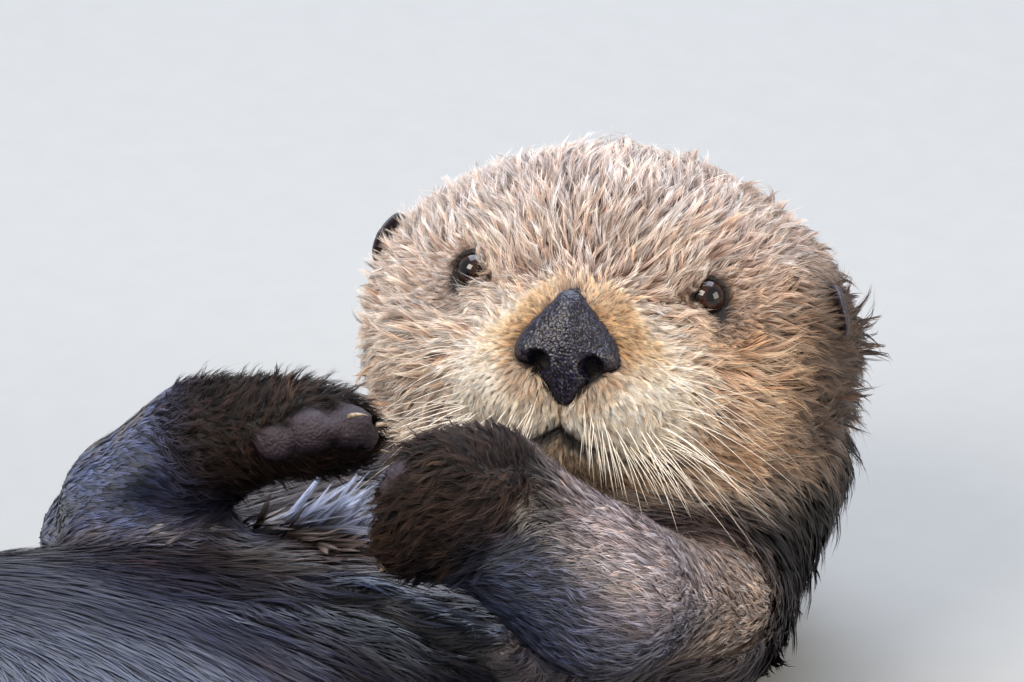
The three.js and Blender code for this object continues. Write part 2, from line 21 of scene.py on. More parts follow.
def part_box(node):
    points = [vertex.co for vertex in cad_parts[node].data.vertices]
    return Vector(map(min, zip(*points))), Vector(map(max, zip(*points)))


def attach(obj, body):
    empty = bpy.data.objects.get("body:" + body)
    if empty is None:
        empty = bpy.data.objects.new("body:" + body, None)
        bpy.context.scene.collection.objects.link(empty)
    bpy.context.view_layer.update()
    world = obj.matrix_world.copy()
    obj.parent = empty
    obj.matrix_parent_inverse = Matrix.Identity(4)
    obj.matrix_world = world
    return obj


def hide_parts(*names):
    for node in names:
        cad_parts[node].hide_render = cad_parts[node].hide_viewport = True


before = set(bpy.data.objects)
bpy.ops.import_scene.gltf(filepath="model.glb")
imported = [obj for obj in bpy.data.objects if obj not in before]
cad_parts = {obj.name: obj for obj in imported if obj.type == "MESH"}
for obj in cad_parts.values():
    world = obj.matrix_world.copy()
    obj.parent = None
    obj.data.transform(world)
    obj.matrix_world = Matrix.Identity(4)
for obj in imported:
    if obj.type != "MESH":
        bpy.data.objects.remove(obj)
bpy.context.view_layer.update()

LOG = logging.getLogger("otter")
MM = 0.001
BODY = "root"
SIDES = {"left": 1.0, "right": -1.0}
FLESH = ("head", "neck", "chest", "belly", "hips", "tail") + tuple(
    f"{part}_{side}"
    for side in SIDES
    for part in ("upper_arm", "forearm", "forepaw", "thigh", "shank", "hind_foot")
)


# ---------------------------------------------------------------- small helpers


def srgb(code: str) -> np.ndarray:
    """Linear red, green and blue of an sRGB hex colour such as "#8A6A5C"."""
    values = np.array([int(code[n : n + 2], 16) / 255 for n in (1, 3, 5)])
    return np.where(values <= 0.04045, values / 12.92, ((values + 0.055) / 1.055) ** 2.4)


def unit(vectors: np.ndarray) -> np.ndarray:
    """Each row at length 1."""
    return vectors / (np.linalg.norm(vectors, axis=-1, keepdims=True) + 1e-12)


def ramp(low: float, high: float, values: np.ndarray) -> np.ndarray:
    """A smooth step from 0 at low to 1 at high."""
    share = np.clip((values - low) / (high - low), 0, 1)
    return share * share * (3 - 2 * share)


def mixed(first: np.ndarray, second: np.ndarray, share: np.ndarray | float) -> np.ndarray:
    """Rows of first turned into second by each row's share."""
    return first + (second - first) * np.asarray(share)[..., None]


def bell(values: np.ndarray, width: float) -> np.ndarray:
    """A smooth hump: 1 where values are 0, falling away over the width."""
    return np.exp(-((values / width) ** 2))


def apart(places: np.ndarray, middle: np.ndarray, size: np.ndarray | float = 1.0) -> np.ndarray:
    """How far each row is from a place, counted in sizes that may differ from axis to axis."""
    return np.linalg.norm((places - middle) / size, axis=1)


def lumps(places: np.ndarray, size: float, seed: int) -> np.ndarray:
    """Smooth random values from -1 to 1.

    Args:
        places: points, one per row.
        size: distance between one lump and the next, in the points' unit.
        seed: picks another pattern.

    Returns:
        One value per point.
    """
    scaled = places / size + seed * 3.17
    cell = np.floor(scaled).astype(np.int64)
    part = scaled - cell
    part = part * part * (3 - 2 * part)
    total = np.zeros(len(places))
    for corner in np.ndindex(2, 2, 2):
        key = ((cell + corner) * (73856093, 19349663, 83492791)).sum(1) + seed * 7919
        key = (key ^ (key >> 13)) * 1274126177 & 0x7FFFFFFF
        value = (key >> 7 & 0xFFFF) / 0x7FFF - 1
        total += value * np.where(corner, part, 1 - part).prod(1)
    return total


def pebbles(places: np.ndarray, size: float, seed: int) -> np.ndarray:
    """Distance to the nearest of one jittered point in each cell, in cells: 0 on a pebble's middle.

    Args:
        places: points, one per row.
        size: distance between one pebble and the next, in the points' unit.
        seed: picks another pattern.

    Returns:
        One distance for each point.
    """
    scaled = places / size
    cell = np.floor(scaled).astype(np.int64)
    best = np.full(len(places), 9.0)
    for step in np.ndindex(3, 3, 3):
        near = cell + np.array(step) - 1
        key = (near * (73856093, 19349663, 83492791)).sum(1) + seed * 7919
        jitter = []
        for salt in (1274126177, 668265263, 374761393):
            mixed_key = (key ^ (key >> 11)) * salt & 0x7FFFFFFF
            jitter.append((mixed_key >> 9 & 0xFFF) / 0xFFF)
        best = np.minimum(best, apart(near + np.stack(jitter, 1), scaled))
    return best


def centre(node: str) -> np.ndarray:
    """The middle of a CAD node's box."""
    low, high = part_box(node)
    return (np.array(low) + np.array(high)) / 2


def finished(piece: bpy.types.Object, slot: str, *nodes: str) -> bpy.types.Object:
    """Ties a piece to the frame.

    Args:
        piece: the finished object, in place.
        slot: a slot name; not used.
        nodes: the CAD nodes that it stands for.

    Returns:
        The same piece.
    """
    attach(piece, BODY)
    if nodes:
        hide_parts(*nodes)
    mesh = piece.data
    LOG.info("%s: %d triangles", piece.name, len(mesh.loops) - 2 * len(mesh.polygons))
    return piece


def raw_mesh(name: str, places: np.ndarray, triangles: np.ndarray) -> bpy.types.Mesh:
    """A mesh from arrays of places and of three corner numbers for each face.

    Args:
        name: the mesh's name.
        places: the vertices.
        triangles: three corner numbers for each face.

    Returns:
        The new mesh, smooth shaded.
    """
    mesh = bpy.data.meshes.new(name)
    mesh.vertices.add(len(places))
    mesh.vertices.foreach_set("co", places.astype(np.float32).ravel())
    mesh.loops.add(triangles.size)
    mesh.loops.foreach_set("vertex_index", triangles.astype(np.int32).ravel())
    mesh.polygons.add(len(triangles))
    mesh.polygons.foreach_set("loop_start", np.arange(0, triangles.size, 3, dtype=np.int32))
    mesh.polygons.foreach_set("loop_total", np.full(len(triangles), 3, np.int32))
    mesh.polygons.foreach_set("use_smooth", np.ones(len(triangles), bool))
    mesh.update(calc_edges=True)
    return mesh


def shown(name: str, mesh: bpy.types.Mesh, material: bpy.types.Material) -> bpy.types.Object:
    """A new object in the scene with that mesh and material.

    Args:
        name: the new piece's name.
        mesh: its mesh.
        material: the finish.

    Returns:
        The new object.
    """
    piece = bpy.data.objects.new(name, mesh)
    bpy.context.scene.collection.objects.link(piece)
    mesh.materials.clear()
    mesh.materials.append(material)
    return piece


def spots(shape: bmesh.types.BMesh) -> np.ndarray:
    """The places of a bmesh's vertices."""
    return np.array([vertex.co[:] for vertex in shape.verts])


def put_on_skull(shape: bmesh.types.BMesh, local: np.ndarray) -> None:
    """Moves a bmesh's vertices to places given in the skull's millimetres."""
    for vertex, place in zip(shape.verts, SKULL.outside(local).tolist()):
        vertex.co = place


def smooth_piece(name: str, shape: bmesh.types.BMesh, material: bpy.types.Material) -> bpy.types.Object:
    """A new smooth-shaded object made from a bmesh, which is freed.

    Args:
        name: the new piece's name.
        shape: the bmesh.
        material: the finish.

    Returns:
        The new object.
    """
    bmesh.ops.recalc_face_normals(shape, faces=shape.faces)
    for face in shape.faces:
        face.smooth = True
    mesh = bpy.data.meshes.new(name)
    shape.to_mesh(mesh)
    shape.free()
    return shown(name, mesh, material)


def paint(mesh: bpy.types.Mesh, colours: np.ndarray) -> None:
    """Stores linear colours, one per vertex, as the attribute "markings".

    Args:
        mesh: the mesh to colour.
        colours: one row for each vertex.
    """
    layer = mesh.attributes.new("markings", "FLOAT_COLOR", "POINT")
    rows = np.ones((len(colours), 4), np.float32)
    rows[:, :3] = colours
    layer.data.foreach_set("color", rows.ravel())


# ---------------------------------------------------------------- surfaces


@dataclass
class Surface:
    """A triangle mesh held as arrays, with what is needed to smooth it and to grow a coat on it."""

    places: np.ndarray
    triangles: np.ndarray

    def __post_init__(self) -> None:
        """Lists each vertex's neighbours."""
        pairs = np.concatenate([self.triangles[:, ends] for ends in ([0, 1], [1, 2], [2, 0])])
        pairs = np.unique(np.concatenate([pairs, pairs[:, ::-1]]), axis=0)
        self._near = pairs[:, 1]
        self._starts = np.searchsorted(pairs[:, 0], np.arange(len(self.places)))
        self._counts = np.bincount(pairs[:, 0], minlength=len(self.places))

    def ring_mean(self, values: np.ndarray) -> np.ndarray:
        """The mean of each vertex's neighbours.

        Args:
            values: one value or row for each vertex.

        Returns:
            One mean for each vertex.
        """
        total = np.add.reduceat(values[self._near], self._starts, axis=0)
        counts = self._counts if values.ndim == 1 else self._counts[:, None]
        return total / counts

    def spread(self, values: np.ndarray, rounds: int) -> np.ndarray:
        """Values blurred over the surface in so many rounds.

        Args:
            values: one value or row for each vertex.
            rounds: how many rounds.

        Returns:
            The blurred values.
        """
        for _ in range(rounds):
            values = (values + self.ring_mean(values)) / 2
        return values

    def relax(self, rounds: np.ndarray) -> None:
        """Smooths the surface, each vertex as many rounds as its own number says.

        Args:
            rounds: how many rounds each vertex takes.
        """
        for done in range(int(rounds.max())):
            share = np.clip(rounds - done, 0, 1)[:, None] * 0.5
            self.places = self.places + (self.ring_mean(self.places) - self.places) * share

    def crosses(self) -> np.ndarray:
        """Normals of the triangles, each as long as twice its triangle's area."""
        corners = self.places[self.triangles]
        return np.cross(corners[:, 1] - corners[:, 0], corners[:, 2] - corners[:, 0])

    def normals(self) -> np.ndarray:
        """Unit normals of the vertices.

        Returns:
            One row for each vertex.
        """
        face = self.crosses()
        total = np.zeros_like(self.places)
        for n in range(3):
            for axis in range(3):
                total[:, axis] += np.bincount(self.triangles[:, n], face[:, axis], len(self.places))
        return unit(total)

    def areas(self) -> np.ndarray:
        """Areas of the triangles."""
        return np.linalg.norm(self.crosses(), axis=1) / 2

    def tree(self) -> BVHTree:
        """A tree that finds the nearest point of the surface."""
        return BVHTree.FromPolygons(self.places.tolist(), self.triangles.tolist())

    def at(self, values: np.ndarray, faces: np.ndarray, shares: np.ndarray) -> np.ndarray:
        """Vertex values taken at places given by a triangle and the shares of its corners.

        Args:
            values: one value or row for each vertex.
            faces: a triangle for each place.
            shares: the shares of its corners.

        Returns:
            One value or row for each place.
        """
        corners = values[self.triangles[faces]]
        if values.ndim == 1:
            return (corners * shares).sum(1)
        return (corners * shares[:, :, None]).sum(1)

    def shares_of(self, faces: np.ndarray, places: np.ndarray) -> np.ndarray:
        """Shares of each triangle's corners that give the places on it.

        Args:
            faces: a triangle for each place.
            places: points, one per row.

        Returns:
            Three shares for each place.
        """
        corners = self.places[self.triangles[faces]]
        start = corners[:, 0]
        along, across, reach = corners[:, 1] - start, corners[:, 2] - start, places - start
        aa, ab, bb = (along * along).sum(1), (along * across).sum(1), (across * across).sum(1)
        ra, rb = (reach * along).sum(1), (reach * across).sum(1)
        scale = aa * bb - ab * ab + 1e-24
        second = np.clip((bb * ra - ab * rb) / scale, 0, 1)
        third = np.clip((aa * rb - ab * ra) / scale, 0, 1)
        return np.stack([np.clip(1 - second - third, 0, 1), second, third], 1)

    def nearest(self, tree: BVHTree, places: np.ndarray) -> tuple[np.ndarray, np.ndarray]:
        """The nearest place on the surface, and its triangle, for each point."""
        hits = [tree.find_nearest(place) for place in places.tolist()]
        return np.array([hit[0][:] for hit in hits]), np.array([hit[2] for hit in hits])


@dataclass(frozen=True)
class Skull:
    """The head's own frame, in millimetres: X to the otter's left, Y to the crown, Z out through the nose."""

    turn: float = 26.0
    lift: float = 20.0
    roll: float = 2.2
    eye_up: float = 17.4
    eye_front: float = 38.1

    def axes(self) -> np.ndarray:
        """The frame's three unit axes, one per column.

        Returns:
            A matrix of three columns.
        """
        turn, lift, roll = (math.radians(value) for value in (self.turn, self.lift, self.roll))
        forward = Vector((math.sin(turn) * math.cos(lift), -math.cos(turn) * math.cos(lift), math.sin(lift)))
        across = Vector((0, 0, 1)).cross(forward).normalized()
        frame_matrix = Matrix((across, forward.cross(across), forward)).transposed()
        return np.array(frame_matrix @ Matrix.Rotation(-roll, 3, "Z"))

    def origin(self) -> np.ndarray:
        """The skull's middle, found from the two eyes."""
        eyes = (centre("eye_left") + centre("eye_right")) / 2
        return eyes - self.axes() @ np.array((0, self.eye_up, self.eye_front)) * MM

    def inside(self, places: np.ndarray) -> np.ndarray:
        """Places turned from metres in the row's frame into the skull's millimetres."""
        return (places - self.origin()) @ self.axes() / MM

    def outside(self, places: np.ndarray) -> np.ndarray:
        """Places turned from the skull's millimetres into metres in the row's frame."""
        return places * MM @ self.axes().T + self.origin()


SKULL = Skull()


# ---------------------------------------------------------------- the pelt


@dataclass(frozen=True)
class Pelt:
    """How the coat is on one region: sizes in millimetres, colours at the roots and the tips."""

    depth: float
    length: float
    rise: float
    root: str
    tip: str
    rounds: float = 20.0


# Painted reflection: the slate-blue in the tips of belly, hips, thighs, shanks and tail stands for the sky
# reflected in wet fur. It is brightest on the right arm, as a painted highlight.
PELTS = {
    "head": Pelt(5.0, 12.5, 1.0, "#8F7266", "#F7E3D0", 14),
    "neck": Pelt(7.0, 18, 0.8, "#080505", "#18110D", 44),
    "chest": Pelt(5.4, 19, 0.6, "#131117", "#463F4A", 56),
    "belly": Pelt(4.0, 26, 0.22, "#151724", "#2A3050", 60),
    "hips": Pelt(4.4, 24, 0.3, "#15151F", "#302F42", 70),
    "tail": Pelt(4.0, 16, 0.34, "#141318", "#33303C", 24),
    "upper_arm": Pelt(4.2, 13, 0.45, "#55474A", "#B9A4A2", 16),
    "forearm": Pelt(3.4, 9, 0.5, "#8A7B80", "#EFE2E6", 12),
    "forearm_right": Pelt(2.6, 11, 0.2, "#12141F", "#7C8BC0", 12),
    "upper_arm_right": Pelt(3.2, 14, 0.25, "#11131C", "#3C4664", 16),
    "forepaw": Pelt(3.4, 7.0, 1.4, "#080505", "#46342C", 7),
    "thigh": Pelt(4.4, 21, 0.32, "#15151F", "#302F42", 50),
    "shank": Pelt(4.0, 14, 0.36, "#151419", "#35303C", 24),
    "hind_foot": Pelt(1.6, 4, 0.5, "#1F1A1B", "#3A302F", 3),
}
SOFT = ("neck", "chest", "belly", "hips", "thigh_left", "thigh_right")


def pelt_of(node: str) -> Pelt:
    """The coat of the region that a CAD node belongs to."""
    return PELTS.get(node) or PELTS[node.rsplit("_", 1)[0]]


@dataclass(frozen=True)
class EyeShape:
    """An eyeball and its lids, in the skull's millimetres and in radians seen from the eyeball's middle."""

    side: float = 41.2
    radius: float = 7.6
    lid: float = 1.25
    half_width: float = 0.72
    half_height: float = 0.97
    inner: float = 0.3
    outer: float = 0.12
    splay: float = 31.0
    lift: float = 9.0
    slant: float = 14.0

    def middle(self, sign: float) -> np.ndarray:
        """The eyeball's middle."""
        return np.array((self.side * sign, SKULL.eye_up, SKULL.eye_front))

    def axes(self, sign: float) -> np.ndarray:
        """Three unit rows: toward the outer corner, up, and out along the gaze.

        Args:
            sign: 1 for the left side, -1 for the right.

        Returns:
            A matrix of three rows.
        """
        splay, lift, slant = (math.radians(value) for value in (self.splay, self.lift, self.slant))
        level = math.cos(lift)
        gaze = np.array((sign * math.sin(splay) * level, math.sin(lift), math.cos(splay) * level))
        outward = unit(np.cross((0, 1, 0), gaze)) * sign
        upward = np.cross(gaze, outward) * sign
        outer = outward * math.cos(slant) + upward * math.sin(slant)
        return np.stack([outer, np.cross(gaze, outer) * sign, gaze])

    def opening(self, places: np.ndarray, sign: float) -> tuple[np.ndarray, np.ndarray, np.ndarray]:
        """How far places are from the opening between the lids.

        Args:
            places: points in the skull's millimetres.
            sign: 1 for the left eye, -1 for the right.

        Returns:
            The distance from the eyeball's middle, how far out from the opening's middle (1 on its rim),
            and the height above the opening's middle line in radians.
        """
        reach = places - self.middle(sign)
        along = reach @ self.axes(sign).T
        across = np.arctan2(along[:, 0], along[:, 2])
        up = np.arctan2(along[:, 1], along[:, 2])
        turn = np.arctan2(up, across)
        rim = 1 / np.sqrt((np.cos(turn) / self.half_width) ** 2 + (np.sin(turn) / self.half_height) ** 2)
        rim += self.inner * bell(np.abs(np.abs(turn + 0.15) - math.pi), 0.36)
        rim += self.outer * bell(turn + 0.85, 0.42)
        out = np.hypot(across, up) / rim
        return np.linalg.norm(reach, axis=1), np.where(along[:, 2] > 0, out, 9.0), up


EYE = EyeShape()


@dataclass(frozen=True)
class Mouth:
    """The lip line under the nose, in the skull's millimetres."""

    top: float = -29.0
    drop: float = 13.0
    half: float = 33.0
    front: float = 40.0

    def line(self, across: np.ndarray) -> np.ndarray:
        """The height of the lip line at a place beside the middle."""
        share = np.abs(across) / self.half
        return self.top - self.drop * np.sin(np.clip(share, 0, 1.2) * math.pi / 2) ** 0.8

    def offset(self, places: np.ndarray) -> np.ndarray:
        """Height above the lip line, or a large number where there is no lip.

        Args:
            places: points in the skull's millimetres.

        Returns:
            One height for each place.
        """
        here = places[:, 1] - self.line(places[:, 0])
        lost = (np.abs(places[:, 0]) > self.half * 1.15) | (places[:, 2] < self.front)
        return np.where(lost, 99.0, here)


MOUTH = Mouth()


@dataclass(frozen=True)
class Limb:
    """One limb's run of places from the body to the tips of its digits."""

    parts: tuple[str, str, str]
    claws: str
    side: str

    def run(self) -> np.ndarray:
        """Middles of the three parts and of the claws."""
        tips = [centre(f"{self.claws}_{self.side}_{n}") for n in range(1, 6)]
        return np.array([centre(f"{part}_{self.side}") for part in self.parts] + [np.mean(tips, 0)])

    def flows(self) -> dict[str, np.ndarray]:
        """The direction down the limb for each of its nodes."""
        run = self.run()
        return {f"{part}_{self.side}": unit(run[n + 1] - run[n]) for n, part in enumerate(self.parts)}


@dataclass(frozen=True)
class Palm:
    """Pads of the forepaws: places from the paw's middle, with radii and heights, in millimetres."""

    right: tuple[tuple[float, float, float, float, float], ...] = (
        (26.7, -11.2, 16.4, 9.6, 2.6),
        (13.8, -17.0, 9.7, 7.4, 2.0),
        (37.0, 4.0, 17.0, 10.6, 1.8),
        (39.0, 15.0, 6.0, 8.0, 1.0),
    )
    left: tuple[tuple[float, float, float, float, float], ...] = (
        (-17.0, -17.0, 15.0, 7.0, 1.6),
        (-22.0, -10.0, 8.0, 7.0, 1.4),
        (-20.0, -16.0, 1.0, 6.0, 1.0),
    )

    def relief(self, places: np.ndarray) -> np.ndarray:
        """Height of the pads, with a crease round each, in millimetres.

        Args:
            places: points, one per row.

        Returns:
            One height for each place.
        """
        total = np.zeros(len(places))
        for side, pads in (("right", self.right), ("left", self.left)):
            for *offset, radius, height in pads:
                away = apart(places - centre(f"forepaw_{side}"), np.array(offset) * MM)
                share = away / (radius * MM)
                total += height * np.exp(-(share**4)) - 0.9 * bell(share - 1.15, 0.16)
        return total

    def bare(self, places: np.ndarray) -> np.ndarray:
        """How far each place is bare pad.

        Args:
            places: points, one per row.

        Returns:
            A share from 0 to 1 for each place.
        """
        bare = np.zeros(len(places))
        for side, pads in (("right", self.right), ("left", self.left)):
            for *offset, radius, _ in pads:
                away = apart(places - centre(f"forepaw_{side}"), np.array(offset) * MM)
                bare = np.maximum(bare, ramp(1.35, 0.95, away / (radius * MM)))
        return bare


PALM = Palm()
ARMS = {side: Limb(("upper_arm", "forearm", "forepaw"), "claw_fore", side) for side in SIDES}
LEGS = {side: Limb(("thigh", "shank", "hind_foot"), "claw_hind", side) for side in SIDES}


# ---------------------------------------------------------------- the skin


@dataclass
class Skin:
    """One closed skin for head, trunk, limbs and tail, with the fields that the coat grows by."""

    voxel: float = 3.9
    seam: float = 0.4
    clear: float = 8.0
    fold: tuple[tuple[float, float], ...] = (
        (-95, -130), (-40, -122), (10, -114), (28, -72),
        (48, -50), (69, -42), (86, -32), (112, -24),
    )
    face_reach: float = 62.0
    paw_reach: float = 27.0
    passing: float = 70.0
    surface: Surface | None = None
    shares: np.ndarray | None = None
    fields: dict[str, np.ndarray] = field(default_factory=dict)

    def flesh(self) -> bpy.types.Mesh:
        """Copies of the flesh nodes, a little swollen so that they meet, in one mesh.

        Returns:
            The joined mesh.
        """
        head_tree = Surface(*self._arrays(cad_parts["head"].data)).tree()
        whole = bmesh.new()
        for name in FLESH + ("nose", "eye_left", "eye_right"):
            part = bmesh.new()
            part.from_mesh(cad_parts[name].data)
            bmesh.ops.remove_doubles(part, verts=part.verts, dist=1e-6)
            part.normal_update()
            for vertex in part.verts:
                vertex.co += vertex.normal * self.seam * MM
                if name.startswith(("forearm", "forepaw")):
                    near, _, _, gap = head_tree.find_nearest(vertex.co)
                    if gap < self.clear * MM:
                        vertex.co += (vertex.co - near).normalized() * (self.clear * MM - gap) * 0.5
            copy = bpy.data.meshes.new(name)
            part.to_mesh(copy)
            part.free()
            whole.from_mesh(copy)
            bpy.data.meshes.remove(copy)
        mesh = bpy.data.meshes.new("flesh")
        whole.to_mesh(mesh)
        whole.free()
        return mesh

    @staticmethod
    def _arrays(mesh: bpy.types.Mesh) -> tuple[np.ndarray, np.ndarray]:
        """Places and triangles of a mesh.

        Args:
            mesh: the mesh to read.

        Returns:
            The places, and three corner numbers for each triangle.
        """
        mesh.calc_loop_triangles()
        places = np.empty(len(mesh.vertices) * 3, np.float32)
        mesh.vertices.foreach_get("co", places)
        triangles = np.empty(len(mesh.loop_triangles) * 3, np.int32)
        mesh.loop_triangles.foreach_get("vertices", triangles)
        return places.reshape(-1, 3).astype(float), triangles.reshape(-1, 3)

    def remeshed(self) -> Surface:
        """The flesh wrapped in one even closed surface, with any hollow shells inside it left out.

        Returns:
            The wrapped surface.
        """
        holder = bpy.data.objects.new("flesh", self.flesh())
        bpy.context.scene.collection.objects.link(holder)
        wrap = holder.modifiers.new("wrap", "REMESH")
        wrap.mode, wrap.voxel_size, wrap.adaptivity = "VOXEL", self.voxel * MM, 0.0
        graph = bpy.context.evaluated_depsgraph_get()
        mesh = bpy.data.meshes.new_from_object(holder.evaluated_get(graph))
        whole = Surface(*self._arrays(mesh))
        bpy.data.objects.remove(holder)
        bpy.data.meshes.remove(mesh)
        return self.largest(whole)

    @staticmethod
    def largest(whole: Surface) -> Surface:
        """The largest connected part of a surface.

        Args:
            whole: the surface with all its parts.

        Returns:
            That part alone.
        """
        label = np.arange(len(whole.places))
        while True:
            best = np.minimum.reduceat(label[whole._near], whole._starts)
            best = np.minimum(best, label)
            best = best[best]
            if (best == label).all():
                break
            label = best
        kept = label == np.bincount(label).argmax()
        number = np.cumsum(kept) - 1
        return Surface(whole.places[kept], number[whole.triangles[kept[whole.triangles[:, 0]]]])

    def regions(self, cad: Surface, owner: np.ndarray, tree: BVHTree) -> None:
        """Each vertex's share in each flesh node, blurred a little over the borders.

        Args:
            cad: the flesh nodes as one surface.
            owner: the node that each of its triangles belongs to.
            tree: a tree of that surface.
        """
        _, faces = cad.nearest(tree, self.surface.places)
        first = np.zeros((len(self.surface.places), len(FLESH)))
        first[np.arange(len(first)), owner[faces]] = 1
        self.shares = self.surface.spread(first, 16)
        trunk = [FLESH.index(name) for name in SOFT]
        wide = self.surface.spread(self.shares[:, trunk], 90) + 1e-9
        total = self.shares[:, trunk].sum(1, keepdims=True)
        self.shares[:, trunk] = total * wide / wide.sum(1, keepdims=True)
        self.blend_trunk()

    def blend_trunk(self) -> None:
        """Lets chest, belly and hips pass slowly into one another along the body."""
        columns = [FLESH.index(name) for name in ("chest", "belly", "hips")]
        total = self.shares[:, columns].sum(1)
        along = self.surface.places[:, 1]
        waist, loin = self.border("chest", "belly"), self.border("belly", "hips")
        chest = ramp(-self.passing, self.passing, (along - waist) / MM)
        hips = ramp(self.passing, -self.passing, (along - loin) / MM)
        self.shares[:, columns] = total[:, None] * np.stack([chest, (1 - chest) * (1 - hips), hips], 1)

    @staticmethod
    def border(first: str, second: str) -> float:
        """Where along the body one trunk node gives way to the next, toward the tail.

        Args:
            first: the node nearer the head.
            second: the next one.

        Returns:
            A place along Y, in metres.
        """
        ahead = min(vertex.co.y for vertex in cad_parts[first].data.vertices)
        behind = max(vertex.co.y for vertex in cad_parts[second].data.vertices)
        return (ahead + behind) / 2

    def share(self, *names: str) -> np.ndarray:
        """How far each vertex is in the named regions together."""
        return self.shares[:, [FLESH.index(name) for name in names]].sum(1)

    def by_region(self, pick: Callable[[Pelt], float]) -> np.ndarray:
        """A number of each region's pelt, spread over the vertices by their shares."""
        return self.shares @ np.array([pick(pelt_of(name)) for name in FLESH])

    def depths(self) -> np.ndarray:
        """How deep the skin lies under the coat's outline at each vertex, in metres.

        Returns:
            One depth for each vertex.
        """
        depth = self.by_region(lambda pelt: pelt.depth)
        local = SKULL.inside(self.surface.places)
        head = self.share("head")
        muzzle = 1 - ramp(26, 52, np.linalg.norm((local - (0, -14, 66)) * (0.85, 0.9, 0.7), axis=1))
        eyes = np.ones(len(local))
        for sign in SIDES.values():
            eyes *= ramp(9, 26, apart(local, EYE.middle(sign)))
        depth = depth * (1 - head * (0.56 * muzzle + 0.45 * (1 - eyes) * (1 - muzzle)))
        floor = 1 - ramp(3, 14, self.surface.places[:, 2] / MM)
        return depth * (1 - 0.35 * floor) * MM

    def build(self) -> None:
        """Wraps, smooths and sinks the skin, then refines and shapes the face."""
        parts = [self._arrays(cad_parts[name].data) for name in FLESH]
        starts = np.cumsum([0] + [len(places) for places, _ in parts[:-1]])
        cad = Surface.__new__(Surface)
        cad.places = np.concatenate([places for places, _ in parts])
        cad.triangles = np.concatenate([triangles + start for (_, triangles), start in zip(parts, starts)])
        owner = np.repeat(np.arange(len(parts)), [len(triangles) for _, triangles in parts])
        outline = cad.tree()
        self.surface = self.remeshed()
        LOG.info("wrapped: %d vertices", len(self.surface.places))
        self.regions(cad, owner, outline)
        self.surface.relax(60.0 * self.crease())
        wrapped = Surface(self.surface.places.copy(), self.surface.triangles)
        self.surface.relax(self.by_region(lambda pelt: pelt.rounds))
        self.sink(wrapped)
        self.refine()
        self.sculpt()
        LOG.info("skin: %d triangles", len(self.surface.triangles))

    def crease(self) -> np.ndarray:
        """How far each vertex is in the fold between head and nape."""
        head = self.share("head")
        return 4 * head * (1 - head) * ramp(10, -20, SKULL.inside(self.surface.places)[:, 2])

    def sink(self, wrapped: Surface) -> None:
        """Moves the skin to its depth under the coat's outline without taking on the outline's facets.

        Args:
            wrapped: the outline that depth is counted from.
        """
        outline = wrapped.tree()
        for rounds in (14, 6):
            near, _ = wrapped.nearest(outline, self.surface.places)
            normals = self.surface.normals()
            under = ((near - self.surface.places) * normals).sum(1)
            under = np.clip(under, -8 * MM, 14 * MM)
            short = self.surface.spread(self.depths() - under, rounds)
            self.surface.places = self.surface.places - normals * short[:, None]
        self.surface.relax(np.full(len(self.surface.places), 3.0))

    def refine(self) -> None:
        """Splits the face and palms finer, again round the mouth, and twice more round the eyes."""
        old, shares = self.surface, self.shares
        tree = old.tree()
        shape = bmesh.new()
        mesh = raw_mesh("coarse", old.places, old.triangles)
        shape.from_mesh(mesh)
        bpy.data.meshes.remove(mesh)
        for level in range(3):
            local = SKULL.inside(spots(shape))
            for vertex, inside in zip(shape.verts, self.wanted(local, level)):
                vertex.tag = bool(inside)
            edges = [edge for edge in shape.edges if edge.verts[0].tag and edge.verts[1].tag]
            bmesh.ops.subdivide_edges(shape, edges=edges, cuts=1, use_grid_fill=True)
            bmesh.ops.triangulate(shape, faces=[face for face in shape.faces if len(face.verts) > 3])
        bmesh.ops.triangulate(shape, faces=shape.faces)
        shape.verts.ensure_lookup_table()
        places = spots(shape)
        triangles = np.array([[vertex.index for vertex in face.verts] for face in shape.faces])
        shape.free()
        near, faces = old.nearest(tree, places)
        self.surface = Surface(places, triangles)
        self.shares = old.at(shares, faces, old.shares_of(faces, near))
        local = SKULL.inside(places)
        self.surface.relax(4.0 * self.wanted(local, 0) + 8.0 * self.wanted(local, 2))

    def wanted(self, local: np.ndarray, level: int) -> np.ndarray:
        """Which places of the head are split at a level.

        Args:
            local: points in the skull's millimetres.
            level: 0 for face and palms, 1 for mouth and eyes, 2 for the lids.

        Returns:
            True for each place that is split.
        """
        eyes = np.minimum(*(apart(local, EYE.middle(sign)) for sign in SIDES.values()))
        mouth = np.linalg.norm((local - (0, -30, 78)) * (0.62, 1, 0.7), axis=1)
        if level == 0:
            face = apart(local, (0, -2, 58)) < self.face_reach
            for side, offset in (("right", (25, -5, 14)), ("left", (-16, -4, 5))):
                paw = SKULL.inside((centre(f"forepaw_{side}") + np.array(offset) * MM)[None])
                face = face | (apart(local, paw) < self.paw_reach)
            return face
        if level == 1:
            return (eyes < 19) | (mouth < 25)
        return eyes < 12.5

    def sculpt(self) -> None:
        """Adds lids, lips, the cleft under the nose, cheek and belly folds to the skin."""
        local = SKULL.inside(self.surface.places)
        start = local.copy()
        local = self.face_folds(local)
        for sign in SIDES.values():
            local = self.lids(local, sign)
        moved = (local - start) @ SKULL.axes().T * MM
        head = ramp(0.02, 0.4, self.share("head"))
        self.surface.places = self.surface.places + moved * head[:, None]
        self.body_folds()

